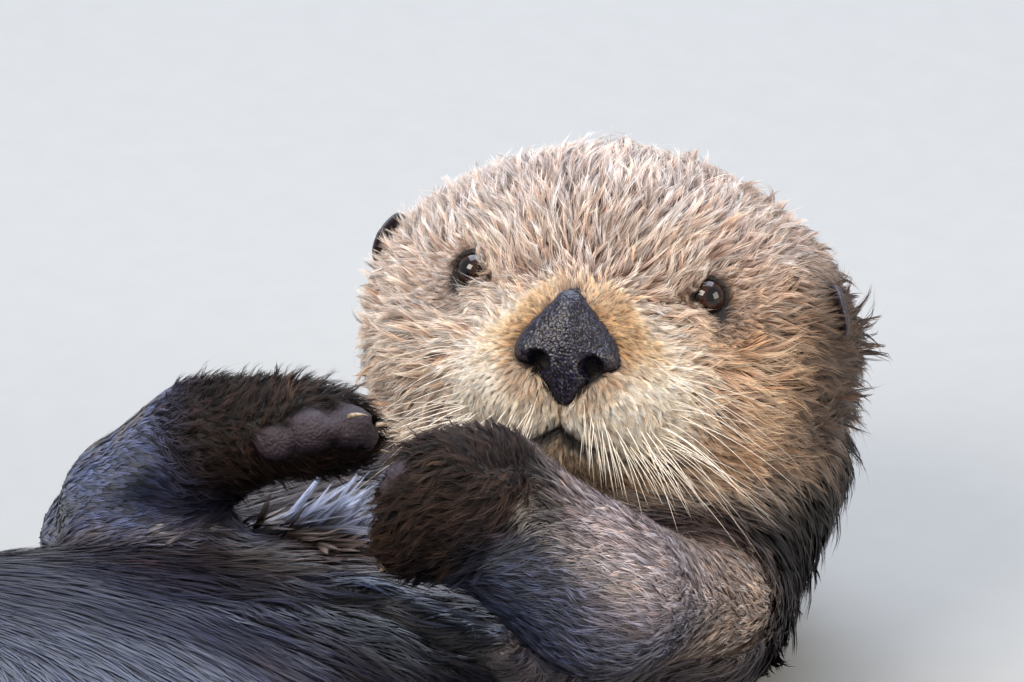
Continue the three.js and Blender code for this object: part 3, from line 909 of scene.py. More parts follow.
    def face_folds(self, local: np.ndarray) -> np.ndarray:
        """Puffs the whisker pads, cuts the lips and the cleft, and hollows the eyes' inner corners.

        Args:
            local: points in the skull's millimetres.

        Returns:
            The places moved.
        """
        turned = self.surface.normals() @ SKULL.axes()
        front = ramp(0.0, 0.5, turned[:, 2])
        push = np.zeros(len(local))
        for sign in SIDES.values():
            pad = apart(local, (17 * sign, -21, 78), (15, 13, 24))
            push += 3.0 * np.exp(-(pad**2) * 1.2)
            hollow = apart(local, (26 * sign, 10.4, 58), (11, 12, 16))
            push -= 1.6 * np.exp(-(hollow**2))
            brow = apart(local, (39 * sign, 29.4, 44), (16, 6, 16))
            push += 1.0 * np.exp(-(brow**2))
        lip = MOUTH.offset(local)
        push -= 4.6 * bell(lip, 1.9) * front
        push -= 2.0 * ramp(1, -1, lip) * ramp(-7.5, -4, lip) * ramp(12, 7, np.abs(local[:, 0] - 2)) * front
        push += 0.9 * bell(lip + 5, 3.4) * front * (np.abs(local[:, 0]) < 26)
        seat = ramp(1.0, 0.82, Nose().out(local)) * (local[:, 2] > 60)
        push -= 7.0 * seat * front
        cleft = bell(local[:, 0], 1.3) * ramp(MOUTH.top - 3, MOUTH.top + 1, local[:, 1])
        push -= 2.6 * cleft * ramp(2, -8, local[:, 1]) * front
        return local + turned * push[:, None]

    def lids(self, local: np.ndarray, sign: float) -> np.ndarray:
        """Draws the skin round one eyeball: thick lid rims, an upper crease, and open between them.

        Args:
            local: points in the skull's millimetres.
            sign: 1 for the left side, -1 for the right.

        Returns:
            The places moved.
        """
        middle = EYE.middle(sign)
        away, out, up = EYE.opening(local, sign)
        reach = unit(local - middle)
        shell = EYE.radius + EYE.lid + 0.4 * bell(out - 1.14, 0.12)
        shell -= 0.8 * bell(out - 1.6, 0.13) * ramp(0.1, 0.5, up)
        shell -= 0.5 * bell(out - 1.52, 0.13) * ramp(-0.1, -0.4, up)
        hold = ramp(2.3, 1.3, out)
        wanted = away + (np.maximum(shell, away - 2.5) - away) * hold
        inside = ramp(1.06, 0.92, out)
        wanted = wanted + (EYE.radius - 1.9 - wanted) * inside
        near = (away < 17) & (out < 2.3)
        return np.where(near[:, None], middle + reach * wanted[:, None], local)

    def body_folds(self) -> None:
        """Adds the wet folds between chest and belly, soft rolls along the trunk and the palms' pads."""
        places = self.surface.places
        normals = self.surface.normals()
        trunk = self.share("chest", "belly", "hips")
        top = ramp(0.04, 0.085, places[:, 2])
        away, above = self.fold_offset(places)
        east = self.east(places)
        push = -5.0 * bell(away, 4.8) * east
        push += 4.6 * bell(above - 8.5, 5.5) * (away < 30) * east
        push += 2.4 * bell(above + 12, 9.0) * (away < 30) * (0.4 + 0.6 * east)
        rolls = lumps(places * (1, 0.55, 0.7), 0.05, 3) * 1.5 + lumps(places * (0.5, 1, 0.6), 0.024, 4) * 0.9
        push = trunk * (rolls * ramp(0.02, 0.06, places[:, 2]) + push * top)
        neck = self.share("neck")
        push += neck * lumps(places * (1, 1, 0.6), 0.024, 8) * 1.4
        under = places - centre("forepaw_right") - np.array((20, -8, -15)) * MM
        under = under / (np.array((26, 15, 12)) * MM)
        push -= 9.0 * np.exp(-(under**2).sum(1)) * self.share("forepaw_right")
        push += PALM.relief(places) + self.toes(places)
        self.surface.places = places + normals * (push * MM)[:, None]

    def toes(self, places: np.ndarray) -> np.ndarray:
        """Height of the toes over the webs between them, in millimetres.

        Args:
            places: points, one per row.

        Returns:
            One height for each place.
        """
        total = np.zeros(len(places))
        for side, limb in LEGS.items():
            run = limb.run()
            ankle = run[2] + (run[2] - run[3]) * 0.9
            near = np.full(len(places), 99.0)
            for n in range(1, 6):
                reach = centre(f"claw_hind_{side}_{n}") - ankle
                share = np.clip((places - ankle) @ reach / (reach @ reach), 0.1, 1)
                near = np.minimum(near, apart(places - ankle, share[:, None] * reach) / MM)
            foot = self.share(f"hind_foot_{side}")
            total += foot * (2.4 * bell(near, 5.0) - 1.0)
        return total

    def east(self, places: np.ndarray) -> np.ndarray:
        """How far each place is on the left part of the fold, where it is a deep wet crease."""
        return ramp(14, 34, (places[:, 0] - centre("chest")[0]) / MM)

    def fold_offset(self, places: np.ndarray) -> tuple[np.ndarray, np.ndarray]:
        """Distance in millimetres from the fold across the belly, and how far to its head side.

        Args:
            places: points, one per row.

        Returns:
            The distance, and the same with a minus on the tail side.
        """
        line = np.array(self.fold) * MM + centre("chest")[:2]
        best = np.full(len(places), 1.0)
        above = np.zeros(len(places))
        for start, end in zip(line[:-1], line[1:]):
            along = end - start
            share = np.clip(((places[:, :2] - start) @ along) / (along @ along), 0, 1)
            gap = places[:, :2] - start - share[:, None] * along
            away = np.linalg.norm(gap, axis=1)
            side = np.sign(gap @ np.array((-along[1], along[0])))
            above = np.where(away < best, away * side, above)
            best = np.minimum(best, away)
        return best / MM, above / MM

    def lie(self) -> np.ndarray:
        """The direction in which the coat lies at each vertex: unit vectors along the skin.

        Returns:
            One row for each vertex.
        """
        places = self.surface.places
        normals = self.surface.normals()
        local = SKULL.inside(places)
        total = np.zeros_like(places)
        fore = SKULL.axes()
        radial = unit(local - (0, 3, 82)) @ fore.T
        aside = (places[:, 0] - centre("belly")[0]) / 0.08
        parted = aside / np.sqrt(1 + aside**2)
        trunk = unit(np.stack([parted * 0.3, np.full(len(places), -1.0), np.full(len(places), -0.2)], 1))
        combed = unit(np.array((1.0, 0.06, -0.15)))
        fanned = unit(np.array((0.9, 0.5, 0.2)))
        turned = ramp(-90, 70, (places[:, 1] - centre("belly")[1]) / MM)
        flows = {"head": radial, "chest": fanned, "belly": mixed(trunk, combed, turned), "hips": trunk}
        beyond = ramp(60, 150, np.linalg.norm(local, axis=1))
        flows["neck"] = mixed(radial, trunk, beyond * 0.75)
        flows["tail"] = np.array((0.0, -1.0, 0.0))
        for limb in (*ARMS.values(), *LEGS.values()):
            for name, way in limb.flows().items():
                flows[name] = way + np.array((0, 0, -0.22))
        for n, name in enumerate(FLESH):
            total += flows[name] * self.shares[:, n, None]
        broad = np.stack([lumps(places, 0.017, seed) for seed in (11, 12, 13)], 1)
        small = np.stack([lumps(places, 0.0075, seed) for seed in (14, 15, 16)], 1)
        rough = self.by_region(lambda pelt: pelt.rise)[:, None]
        total = unit(total) + (broad * 0.42 + small * 0.34) * rough
        for sign in SIDES.values():
            away, out, _ = EYE.opening(local, sign)
            outward = unit(local - EYE.middle(sign)) @ fore.T
            total += outward * (1.3 * ramp(2.4, 1.2, out) * (away < 20))[:, None]
        total -= normals * (total * normals).sum(1)[:, None]
        return unit(self.surface.spread(total, 1))

    def dress(self, material: bpy.types.Material) -> bpy.types.Object:
        """Makes the skin's object.

        Args:
            material: the finish.

        Returns:
            The skin.
        """
        mesh = raw_mesh("skin", self.surface.places, self.surface.triangles)
        paint(mesh, self.fields["skin"])
        piece = shown("skin", mesh, material)
        return finished(piece, "body_fur", *FLESH)


# ---------------------------------------------------------------- markings


@dataclass
class Tones:
    """Root and tip colours of the hair, one row for each vertex, in linear light."""

    root: np.ndarray
    tip: np.ndarray

    def dye(
        self,
        share: np.ndarray,
        root: tuple[str, float] | None = None,
        tip: tuple[str, float] | None = None,
    ) -> None:
        """Turns the colours toward others.

        Args:
            share: how far each vertex is in the marking.
            root: the roots' new colour, and how much of it is taken on.
            tip: the same for the tips.
        """
        if root:
            self.root = mixed(self.root, srgb(root[0]), share * root[1])
        if tip:
            self.tip = mixed(self.tip, srgb(tip[0]), share * tip[1])


@dataclass
class Markings:
    """The otter's colours and coat sizes at each vertex of the skin, the same for skin and coat."""

    skin: Skin

    def build(self) -> None:
        """Fills the skin's fields: root, tip and skin colours, hair length and depth, and bareness."""
        skin = self.skin
        places = skin.surface.places
        local = SKULL.inside(places)
        root = skin.shares @ np.array([srgb(pelt_of(name).root) for name in FLESH])
        tip = skin.shares @ np.array([srgb(pelt_of(name).tip) for name in FLESH])
        length = skin.by_region(lambda pelt: pelt.length)
        head = ramp(0.25, 0.75, skin.share("head"))
        face, face_length = self.face(local)
        wide = skin.surface.spread(skin.share("head"), 70)
        nape = ramp(0.995, 0.6, wide) * ramp(12, -14, local[:, 2])
        face.dye(nape, ("#130C09", 1.0), ("#2E211A", 1.0))
        tones = Tones(mixed(root, face.root, head), mixed(tip, face.tip, head))
        length = length + (face_length - length) * head
        self.body(places, tones)
        ruff = self.ruff(local) * head
        paw = skin.share("forepaw_left")
        fringe = paw * ramp(-6, -20, (places[:, 2] - centre("forepaw_left")[2]) / MM)
        length = length + 5 * ruff + 5 * fringe
        bare, pads = self.bare(places, local)
        skin.fields.update(
            root=np.clip(tones.root, 0.002, 1),
            tip=np.clip(tones.tip, 0.002, 1),
            length=length * MM,
            depth=skin.depths(),
            rise=skin.by_region(lambda pelt: pelt.rise) * (1 + 0.9 * ruff),
            bare=bare,
            lie=skin.lie(),
            normal=skin.surface.normals(),
        )
        # Painted shade: the skin under the coat is the roots' colour darkened to 0.75, as the shadow under
        # the fur, with a little of the tips' colour.
        under = mixed(tones.root * 0.75, tones.tip, 0.16)
        under = mixed(under, srgb("#362B35"), pads)
        under = mixed(under, srgb("#120C0B"), self.rims(local) * head)
        skin.fields["skin"] = np.clip(under, 0.002, 1)

    @staticmethod
    def ruff(local: np.ndarray) -> np.ndarray:
        """How far each place is in the fuller fur at the back of the cheeks.

        Args:
            local: points in the skull's millimetres.

        Returns:
            A share from 0 to 1 for each place.
        """
        across, up, front = local.T
        side = np.where(across > 0, 1.0, 0.15)
        side = side * ramp(54, 80, np.abs(across)) * ramp(24, 0, up)
        return side * ramp(-70, -40, front) * ramp(40, 10, front)

    def rims(self, local: np.ndarray) -> np.ndarray:
        """How far each place is dark bare rim: round the eyes, along the lips and inside the nostrils.

        Args:
            local: points in the skull's millimetres.

        Returns:
            A share from 0 to 1 for each place.
        """
        dark = bell(MOUTH.offset(local), 2.0)
        dark = np.maximum(dark, ramp(1.08, 0.98, Nose().out(local[:, :2])) * (local[:, 2] > 62))
        for sign in SIDES.values():
            away, out, _ = EYE.opening(local, sign)
            dark = np.maximum(dark, ramp(1.22, 1.08, out) * (away < 13))
        return dark

    def gape(self, local: np.ndarray) -> np.ndarray:
        """How far each place is in the parting of the closed lips under the nose, which is painted near-black
        as its shadow.
        """
        offset = MOUTH.offset(local)
        return ramp(1.0, -1.0, offset) * ramp(-6.5, -3.5, offset) * ramp(12, 7, np.abs(local[:, 0] - 2))

    def face(self, local: np.ndarray) -> tuple[Tones, np.ndarray]:
        """Colours and hair length over the head.

        Args:
            local: points in the skull's millimetres.

        Returns:
            The colours, and the length in millimetres.
        """
        across, up, front = local.T
        tones = Tones(srgb("#8A5E48"), srgb("#FFF1E3"))
        back = ramp(18, -52, front)
        tones.dye(back, ("#6A4C3F", 0.8), ("#DDB694", 0.6))
        # Painted light: the head's right side, which faces the key light, is painted paler.
        lit = ramp(0, -46, across)
        tones.dye(lit, ("#BC9A84", 0.55), ("#FFF8F0", 0.6))
        patch = ramp(-0.1, 0.8, lumps(local * (1, 0.8, 1), 17.0, 6))
        patch = patch * ramp(10, 30, np.abs(across) + np.abs(up) * 0.3)
        tones.dye(patch, ("#74503F", 0.55), ("#DDBCA4", 0.4))
        cheek = ramp(14, 50, across) * ramp(34, 2, up)
        tones.dye(cheek, ("#7A5038", 0.75), ("#FFD6A8", 0.7))
        rust = ramp(0.1, 0.8, lumps(local * (1, 0.7, 1), 13.0, 5)) * ramp(14, 36, across)
        tones.dye(rust, ("#96603C", 0.35), ("#EDB47C", 0.4))
        pale = ramp(-14, -44, across) * ramp(10, -14, up) * ramp(-20, 10, front)
        tones.dye(pale, ("#BE9B84", 0.8), ("#FFF0DE", 0.6))
        rear = ramp(58, 80, across + 3 * lumps(local, 9.0, 8)) * ramp(46, 22, up)
        rear = np.maximum(rear, ramp(-30, -64, front) * ramp(10, 50, across) * ramp(60, 20, up))
        tones.dye(rear, ("#170D09", 0.95), ("#4A3124", 0.92))
        muzzle = 1 - ramp(0.8, 1.25, apart(local, (1, -17, 68), (43, 30, 40)))
        tones.dye(muzzle, ("#F6E2C6", 0.95), ("#FFFCF4", 0.95))
        ring = np.hypot(across, (up + 1) / 1.15)
        tan = ramp(41, 26, ring) * ramp(-16, 0, up) * ramp(56, 66, front)
        tones.dye(tan, ("#BD8A50", 0.8), ("#FBD9A6", 0.8))
        rim = ramp(24, 20.5, ring) * ramp(-26, -16, up) * ramp(62, 70, front)
        tones.dye(rim, ("#6B4526", 0.6), ("#D9A466", 0.5))
        chin = ramp(-1, -6, MOUTH.offset(local) * (MOUTH.offset(local) < 90)) * ramp(70, 40, np.abs(across))
        chin = chin * ramp(38, 52, front)
        tones.dye(chin, ("#5C4029", 0.85), ("#C6A06E", 0.75))
        lips = bell(MOUTH.offset(local), 2.6)
        tones.dye(lips, ("#1C110D", 0.95), ("#5A3E2E", 0.7))
        # Painted shadow: the parting of the closed lips is painted near-black, darker than the lips' own dark
        # skin.
        gape = self.gape(local)
        tones.dye(gape, ("#060404", 0.97), ("#150E0C", 0.97))
        edge = -47 + 0.22 * np.clip(across - 40, 0, 60)
        under = ramp(3, -5, up - edge)
        tones.dye(under, ("#120B08", 0.95), ("#35241A", 0.93))
        nape = ramp(-2, -78, front + 9 * lumps(local, 16.0, 9))
        tones.dye(nape, ("#130C09", 0.98), ("#3A291F", 0.98))
        for sign in SIDES.values():
            away, out, _ = EYE.opening(local, sign)
            dark = ramp(1.6, 1.1, out) * (away < 20)
            tones.dye(dark, ("#5E463A", 0.7), ("#CDB09C", 0.4))
            spot = bell(apart(local - EYE.middle(sign), (0, 10.5, 6)), 4.5)
            tones.dye(spot, ("#CDB5A4", 0.8), ("#FFF4E4", 0.9))
        crown = ramp(30, 58, up)
        length = 13.0 + 4.5 * crown + 3.0 * back + 1.5 * cheek
        length = length + (4.4 - length) * np.clip(1.15 * muzzle + 0.6 * tan, 0, 1)
        bridge = ramp(40, 14, np.hypot(across, up - 22)) * ramp(48, 62, front)
        length = length + (6.5 - length) * bridge * (1 - muzzle)
        length = length + (1.8 - length) * gape
        for sign in SIDES.values():
            length = length + (4.0 - length) * ramp(22, 12, apart(local, Ears().place(sign)))
        for sign in SIDES.values():
            away, out, _ = EYE.opening(local, sign)
            length = length + (2.6 - length) * ramp(2.6, 1.15, out) * (away < 22)
        return tones, length

    def body(self, places: np.ndarray, tones: Tones) -> None:
        """Adds rusty streaks, pale chest locks and the paler edges of the arms to the body's colours, with
        painted shadow in the fold, under the left paw, at the left wrist and on the arms' undersides, and
        painted blue sky sheen on the fold's ridge and the forearms.

        Args:
            places: points, one per row.
            tones: the colours to change.
        """
        share, normals = self.skin.share, self.skin.surface.normals()
        streak = ramp(0.25, 0.8, lumps(places * (0.25, 1, 1), 0.009, 21))
        streak = streak * ramp(-0.1, 0.5, lumps(places, 0.04, 22))
        trunk = share("belly", "hips", "chest", "thigh_left", "thigh_right")
        tones.dye(trunk * streak, ("#241815", 0.6), ("#6E5248", 0.6))
        away, above = self.skin.fold_offset(places)
        heart = centre("chest") + np.array((-12, -14, 0)) * MM
        tuft = np.hypot((places[:, 0] - heart[0]) / 0.042, (places[:, 1] - heart[1]) / 0.04)
        brown = ramp(1.9, 1.0, tuft) * share("chest") * ramp(-2, 6, above)
        tones.dye(brown, ("#2A2322", 0.7), ("#9A8A88", 0.8))
        # The chest below the fold takes the belly's colours, with the same painted blue sky reflection in its
        # tips.
        lower = share("chest") * ramp(2, -6, above)
        tones.dye(lower, ("#151724", 0.85), ("#2A3050", 0.85))
        east = self.skin.east(places) * trunk * ramp(0.06, 0.09, places[:, 2])
        # Painted reflection: the fold's ridge gets bright blue tips as the sky's sheen on wet fur.
        ridge = bell(above - 8.5, 6.5) * (away < 30) * east
        tones.dye(ridge, ("#252C40", 0.8), ("#8098D0", 0.9))
        # Painted shadow: the crease of the fold is painted near-black.
        groove = bell(away, 4.5) * east
        tones.dye(groove, ("#060608", 0.85), ("#101016", 0.85))
        # Painted shadow: the chest under the left paw is painted near-black.
        shade = centre("forepaw_left") + np.array((0, -10, -48)) * MM
        painted_paw_shadow = ramp(1.6, 0.8, apart(places, shade, (0.05, 0.04, 0.05))) * share("chest")
        tones.dye(painted_paw_shadow, ("#08080B", 0.8), ("#16161C", 0.8))
        self.cuff(places, share("forearm_left", "forepaw_left"), tones)
        wrist = centre("forepaw_left") + np.array((20, -18, -18)) * MM
        hollow = ramp(0.03, 0.012, apart(places, wrist)) * share("forepaw_left", "forearm_left")
        left = share("forearm_left")
        edge = ramp(0.0, 0.7, lumps(places, 0.018, 25))
        tones.dye(left * edge, None, ("#D2B396", 0.4))
        # Painted shade and reflection: where the left forearm faces down, its roots are painted dark and its
        # tips slate-blue as sky sheen.
        under = left * ramp(0.4, -0.3, normals[:, 2])
        tones.dye(under, ("#20222E", 0.8), ("#68749C", 0.8))
        # Painted shade: the hollow at the left wrist is painted near-black.
        tones.dye(hollow, ("#08080A", 0.9), ("#1B1A20", 0.9))
        # Painted reflection: slate-blue tips on the left forearm toward the wrist stand for sky sheen on wet
        # fur.
        painted_slate_sheen = left * ramp(0.054, 0.022, apart(places - centre("forearm_left"), (0.002, -0.058, -0.004)))
        tones.dye(painted_slate_sheen, ("#191B26", 0.85), ("#7884AE", 0.8))
        elbow = centre("forearm_left") + (centre("upper_arm_left") - centre("forearm_left")) * 0.8
        tan = ramp(0.075, 0.02, apart(places, elbow)) * share("forearm_left", "upper_arm_left")
        tones.dye(tan, ("#8A7466", 0.6), ("#F0DAC8", 0.9))
        right = share("forearm_right", "upper_arm_right")
        # Painted shade: the right arm is painted near-black where it faces down.
        low = right * ramp(0.45, -0.1, normals[:, 2])
        tones.dye(low, ("#08090D", 0.75), ("#161821", 0.75))
        outer = normals @ unit(np.array((-0.6, 0.15, 0.78)))
        dust = ramp(-0.1, 0.4, lumps(places, 0.0045, 26)) * ramp(0.6, 0.92, outer)
        tones.dye(right * dust, ("#6B5A3A", 0.8), ("#C2A877", 0.8))
        wrists = share("forepaw_left", "forepaw_right")
        gold = wrists * ramp(0.35, 0.8, lumps(places, 0.011, 27))
        tones.dye(gold, None, ("#7E6350", 0.55))

    @staticmethod
    def cuff(places: np.ndarray, arm: np.ndarray, tones: Tones) -> None:
        """Runs the dark of the left paw back under the wrist, and the paler forearm forward over it.

        Args:
            places: points, one per row.
            arm: how far each place is on that arm.
            tones: the colours to change.
        """
        run = ARMS["left"].run()
        way = unit(run[2] - run[1])
        wrist = run[2] - way * 30 * MM
        along, height = (places - wrist) @ way, places[:, 2] - wrist[2]
        paw = ramp(-11, 11, (along - 0.4 * height) / MM)
        near = arm * ramp(46, 30, np.abs(along) / MM)
        dark, pale = pelt_of("forepaw_left"), pelt_of("forearm_left")
        tones.root = mixed(tones.root, mixed(srgb(pale.root), srgb(dark.root), paw), near)
        tones.tip = mixed(tones.tip, mixed(srgb(pale.tip), srgb(dark.tip), paw), near)

    def bare(self, places: np.ndarray, local: np.ndarray) -> tuple[np.ndarray, np.ndarray]:
        """Where no hair grows: lids, lips, the nose's seat, palms and webs.

        Args:
            places: the skin's vertices.
            local: the same in the skull's frame.

        Returns:
            How bare each vertex is, and how far it is dark leathery pad.
        """
        bare = np.zeros(len(places))
        head = self.skin.share("head") > 0.4
        for sign in SIDES.values():
            away, out, _ = EYE.opening(local, sign)
            bare = np.maximum(bare, ramp(1.08, 1.0, out) * (away < 13) * head)
        bare = np.maximum(bare, bell(MOUTH.offset(local), 1.1) * (MOUTH.offset(local) < 50) * head)
        seat = Nose().out(local[:, :2])
        bare = np.maximum(bare, (seat < 0.97) * (local[:, 2] > 62) * head)
        pads = PALM.bare(places)
        for side in SIDES:
            pads = np.maximum(pads, ramp(0.4, 0.9, self.skin.share(f"hind_foot_{side}")) * 0.6)
        return np.maximum(bare, ramp(0.45, 0.8, pads)), pads


# ---------------------------------------------------------------- the coat


class Chart(Enum):
    """The axis round which a stretch of skin is unrolled."""

    HEAD = "head"
    TRUNK = "trunk"
    ARM_LEFT = "arm_left"
    ARM_RIGHT = "arm_right"

    def unroll(self, places: np.ndarray) -> np.ndarray:
        """The skin laid flat: rows of two numbers from 0 to 1.

        Args:
            places: points, one per row.

        Returns:
            One row for each place.
        """
        if self is Chart.HEAD:
            local = unit(SKULL.inside(places) - (0, 0, -10))
            tilt = np.arccos(np.clip(local[:, 2], -1, 1)) / math.pi
            flat = local[:, :2] / (np.linalg.norm(local[:, :2], axis=1, keepdims=True) + 1e-9) * tilt[:, None]
        elif self is Chart.TRUNK:
            middle = places.mean(0)
            around = np.arctan2(places[:, 0] - middle[0], places[:, 2] - middle[2])
            flat = np.stack([around, places[:, 1] * 8], 1)
        else:
            run = ARMS[self.value.split("_")[1]].run()
            along = unit(run[2] - run[0])
            reach = places - run[0]
            side = unit(np.cross(along, (0, 0, 1)))
            around = np.arctan2(reach @ side, reach @ np.cross(side, along))
            flat = np.stack([around, reach @ along * 25], 1)
        low, high = flat.min(0), flat.max(0)
        return 0.01 + 0.97 * (flat - low) / (high - low)


@dataclass
class Cut:
    """One stretch of the coat, made as one mesh: sizes in millimetres."""

    name: str
    slot: str
    chart: Chart
    strands: int
    width: float
    lock: float
    clump: float = 0.75
    frizz: float = 0.5
    lift: float = 1.0
    stray: float = 0.04
    steps: int = 3
    guard: float = 0.1
    roll: float = 0.7
    veer: float = 0.2
    contrast: float = 1.0
    finish: str = ""


@dataclass
class Strands:
    """Hair lines ready to become ribbons: one row for each tuft."""

    path: np.ndarray
    normals: np.ndarray
    half: np.ndarray
    root: np.ndarray
    tip: np.ndarray
    blend: np.ndarray
    flat: np.ndarray

    def frames(self, roll: np.ndarray) -> tuple[np.ndarray, np.ndarray]:
        """Each ribbon's sideways direction and shading normal at every step.

        Args:
            roll: how far each ribbon is turned about its own line, in radians.

        Returns:
            The directions and the normals.
        """
        tangent = np.empty_like(self.path)
        tangent[:, 1:-1] = self.path[:, 2:] - self.path[:, :-2]
        tangent[:, 0] = self.path[:, 1] - self.path[:, 0]
        tangent[:, -1] = self.path[:, -1] - self.path[:, -2]
        tangent = unit(tangent)
        side = unit(np.cross(tangent, self.normals))
        side = side * np.cos(roll) + np.cross(tangent, side) * np.sin(roll)
        facing = unit(np.cross(side, tangent))
        facing = facing * np.sign((facing * self.normals).sum(2, keepdims=True))
        return side, unit(facing * 0.5 + self.normals * 0.6)

    def mesh(self, name: str, roll: np.ndarray) -> bpy.types.Mesh:
        """One joined mesh of tapered ribbons with markings, shading normals and the bake map.

        Args:
            name: the mesh's name.
            roll: how far each ribbon is turned about its own line, in radians.

        Returns:
            The new mesh.
        """
        count, steps = len(self.path), self.path.shape[1] - 1
        side, shade = self.frames(roll)
        part = np.linspace(0, 1, steps + 1)
        taper = (0.75 + 0.25 * np.sin(part * math.pi)) * (1 - part**2.2)
        half = self.half[:, None] * taper[None]
        rows = self.laced(self.path + side * half[:, :, None], self.path - side * half[:, :, None])
        first = np.arange(count)[:, None, None] * (2 * steps + 1)
        quads = [[2 * n, 2 * n + 2, 2 * n + 1] for n in range(steps - 1)]
        quads += [[2 * n + 1, 2 * n + 2, 2 * n + 3] for n in range(steps - 1)]
        quads.append([2 * steps - 2, 2 * steps, 2 * steps - 1])
        triangles = (first + np.array(quads)[None]).reshape(-1, 3)
        mesh = raw_mesh(name, rows.reshape(-1, 3), triangles)
        layer = mesh.attributes.new("custom_normal", "FLOAT_VECTOR", "POINT")
        layer.data.foreach_set("vector", self.laced(shade, shade).astype(np.float32).ravel())
        share = self.laced(part[None, :, None], part[None, :, None])[0, :, 0]
        mix = np.clip(share[None] ** 1.25 * self.blend[:, None], 0, 1)
        colours = mixed(self.root[:, None], self.tip[:, None], mix)
        paint(mesh, np.clip(colours, 0.001, 0.95).reshape(-1, 3))
        self.chart(mesh, triangles, share)
        return mesh

    @staticmethod
    def laced(left: np.ndarray, right: np.ndarray) -> np.ndarray:
        """Left and right rows in turn, ending in the single tip.

        Args:
            left: rows along one edge.
            right: rows along the other.

        Returns:
            The rows in the order of the ribbons' vertices.
        """
        count, steps = left.shape[0], left.shape[1] - 1
        rows = np.empty((count, 2 * steps + 1, left.shape[2]))
        rows[:, 0:-1:2], rows[:, 1:-1:2], rows[:, -1] = left[:, :-1], right[:, :-1], left[:, -1]
        return rows

    def chart(self, mesh: bpy.types.Mesh, triangles: np.ndarray, share: np.ndarray) -> None:
        """Gives each tuft its own small patch of the map at its root's place on the unrolled skin.

        Args:
            mesh: the ribbons.
            triangles: three corner numbers for each face.
            share: how far along a ribbon each of its vertices is.
        """
        patch = 0.003
        corners = np.empty((len(self.flat), len(share), 2))
        corners[:, :, 0] = self.flat[:, None, 0]
        corners[:, :, 1] = self.flat[:, None, 1] + patch * share[None]
        corners[:, 1:-1:2, 0] += patch
        corners[:, -1, 0] += patch / 2
        layer = mesh.uv_layers.new(name="OFBake")
        layer.data.foreach_set("uv", corners.reshape(-1, 2)[triangles.ravel()].astype(np.float32).ravel())


Sown = tuple[np.ndarray, np.ndarray]


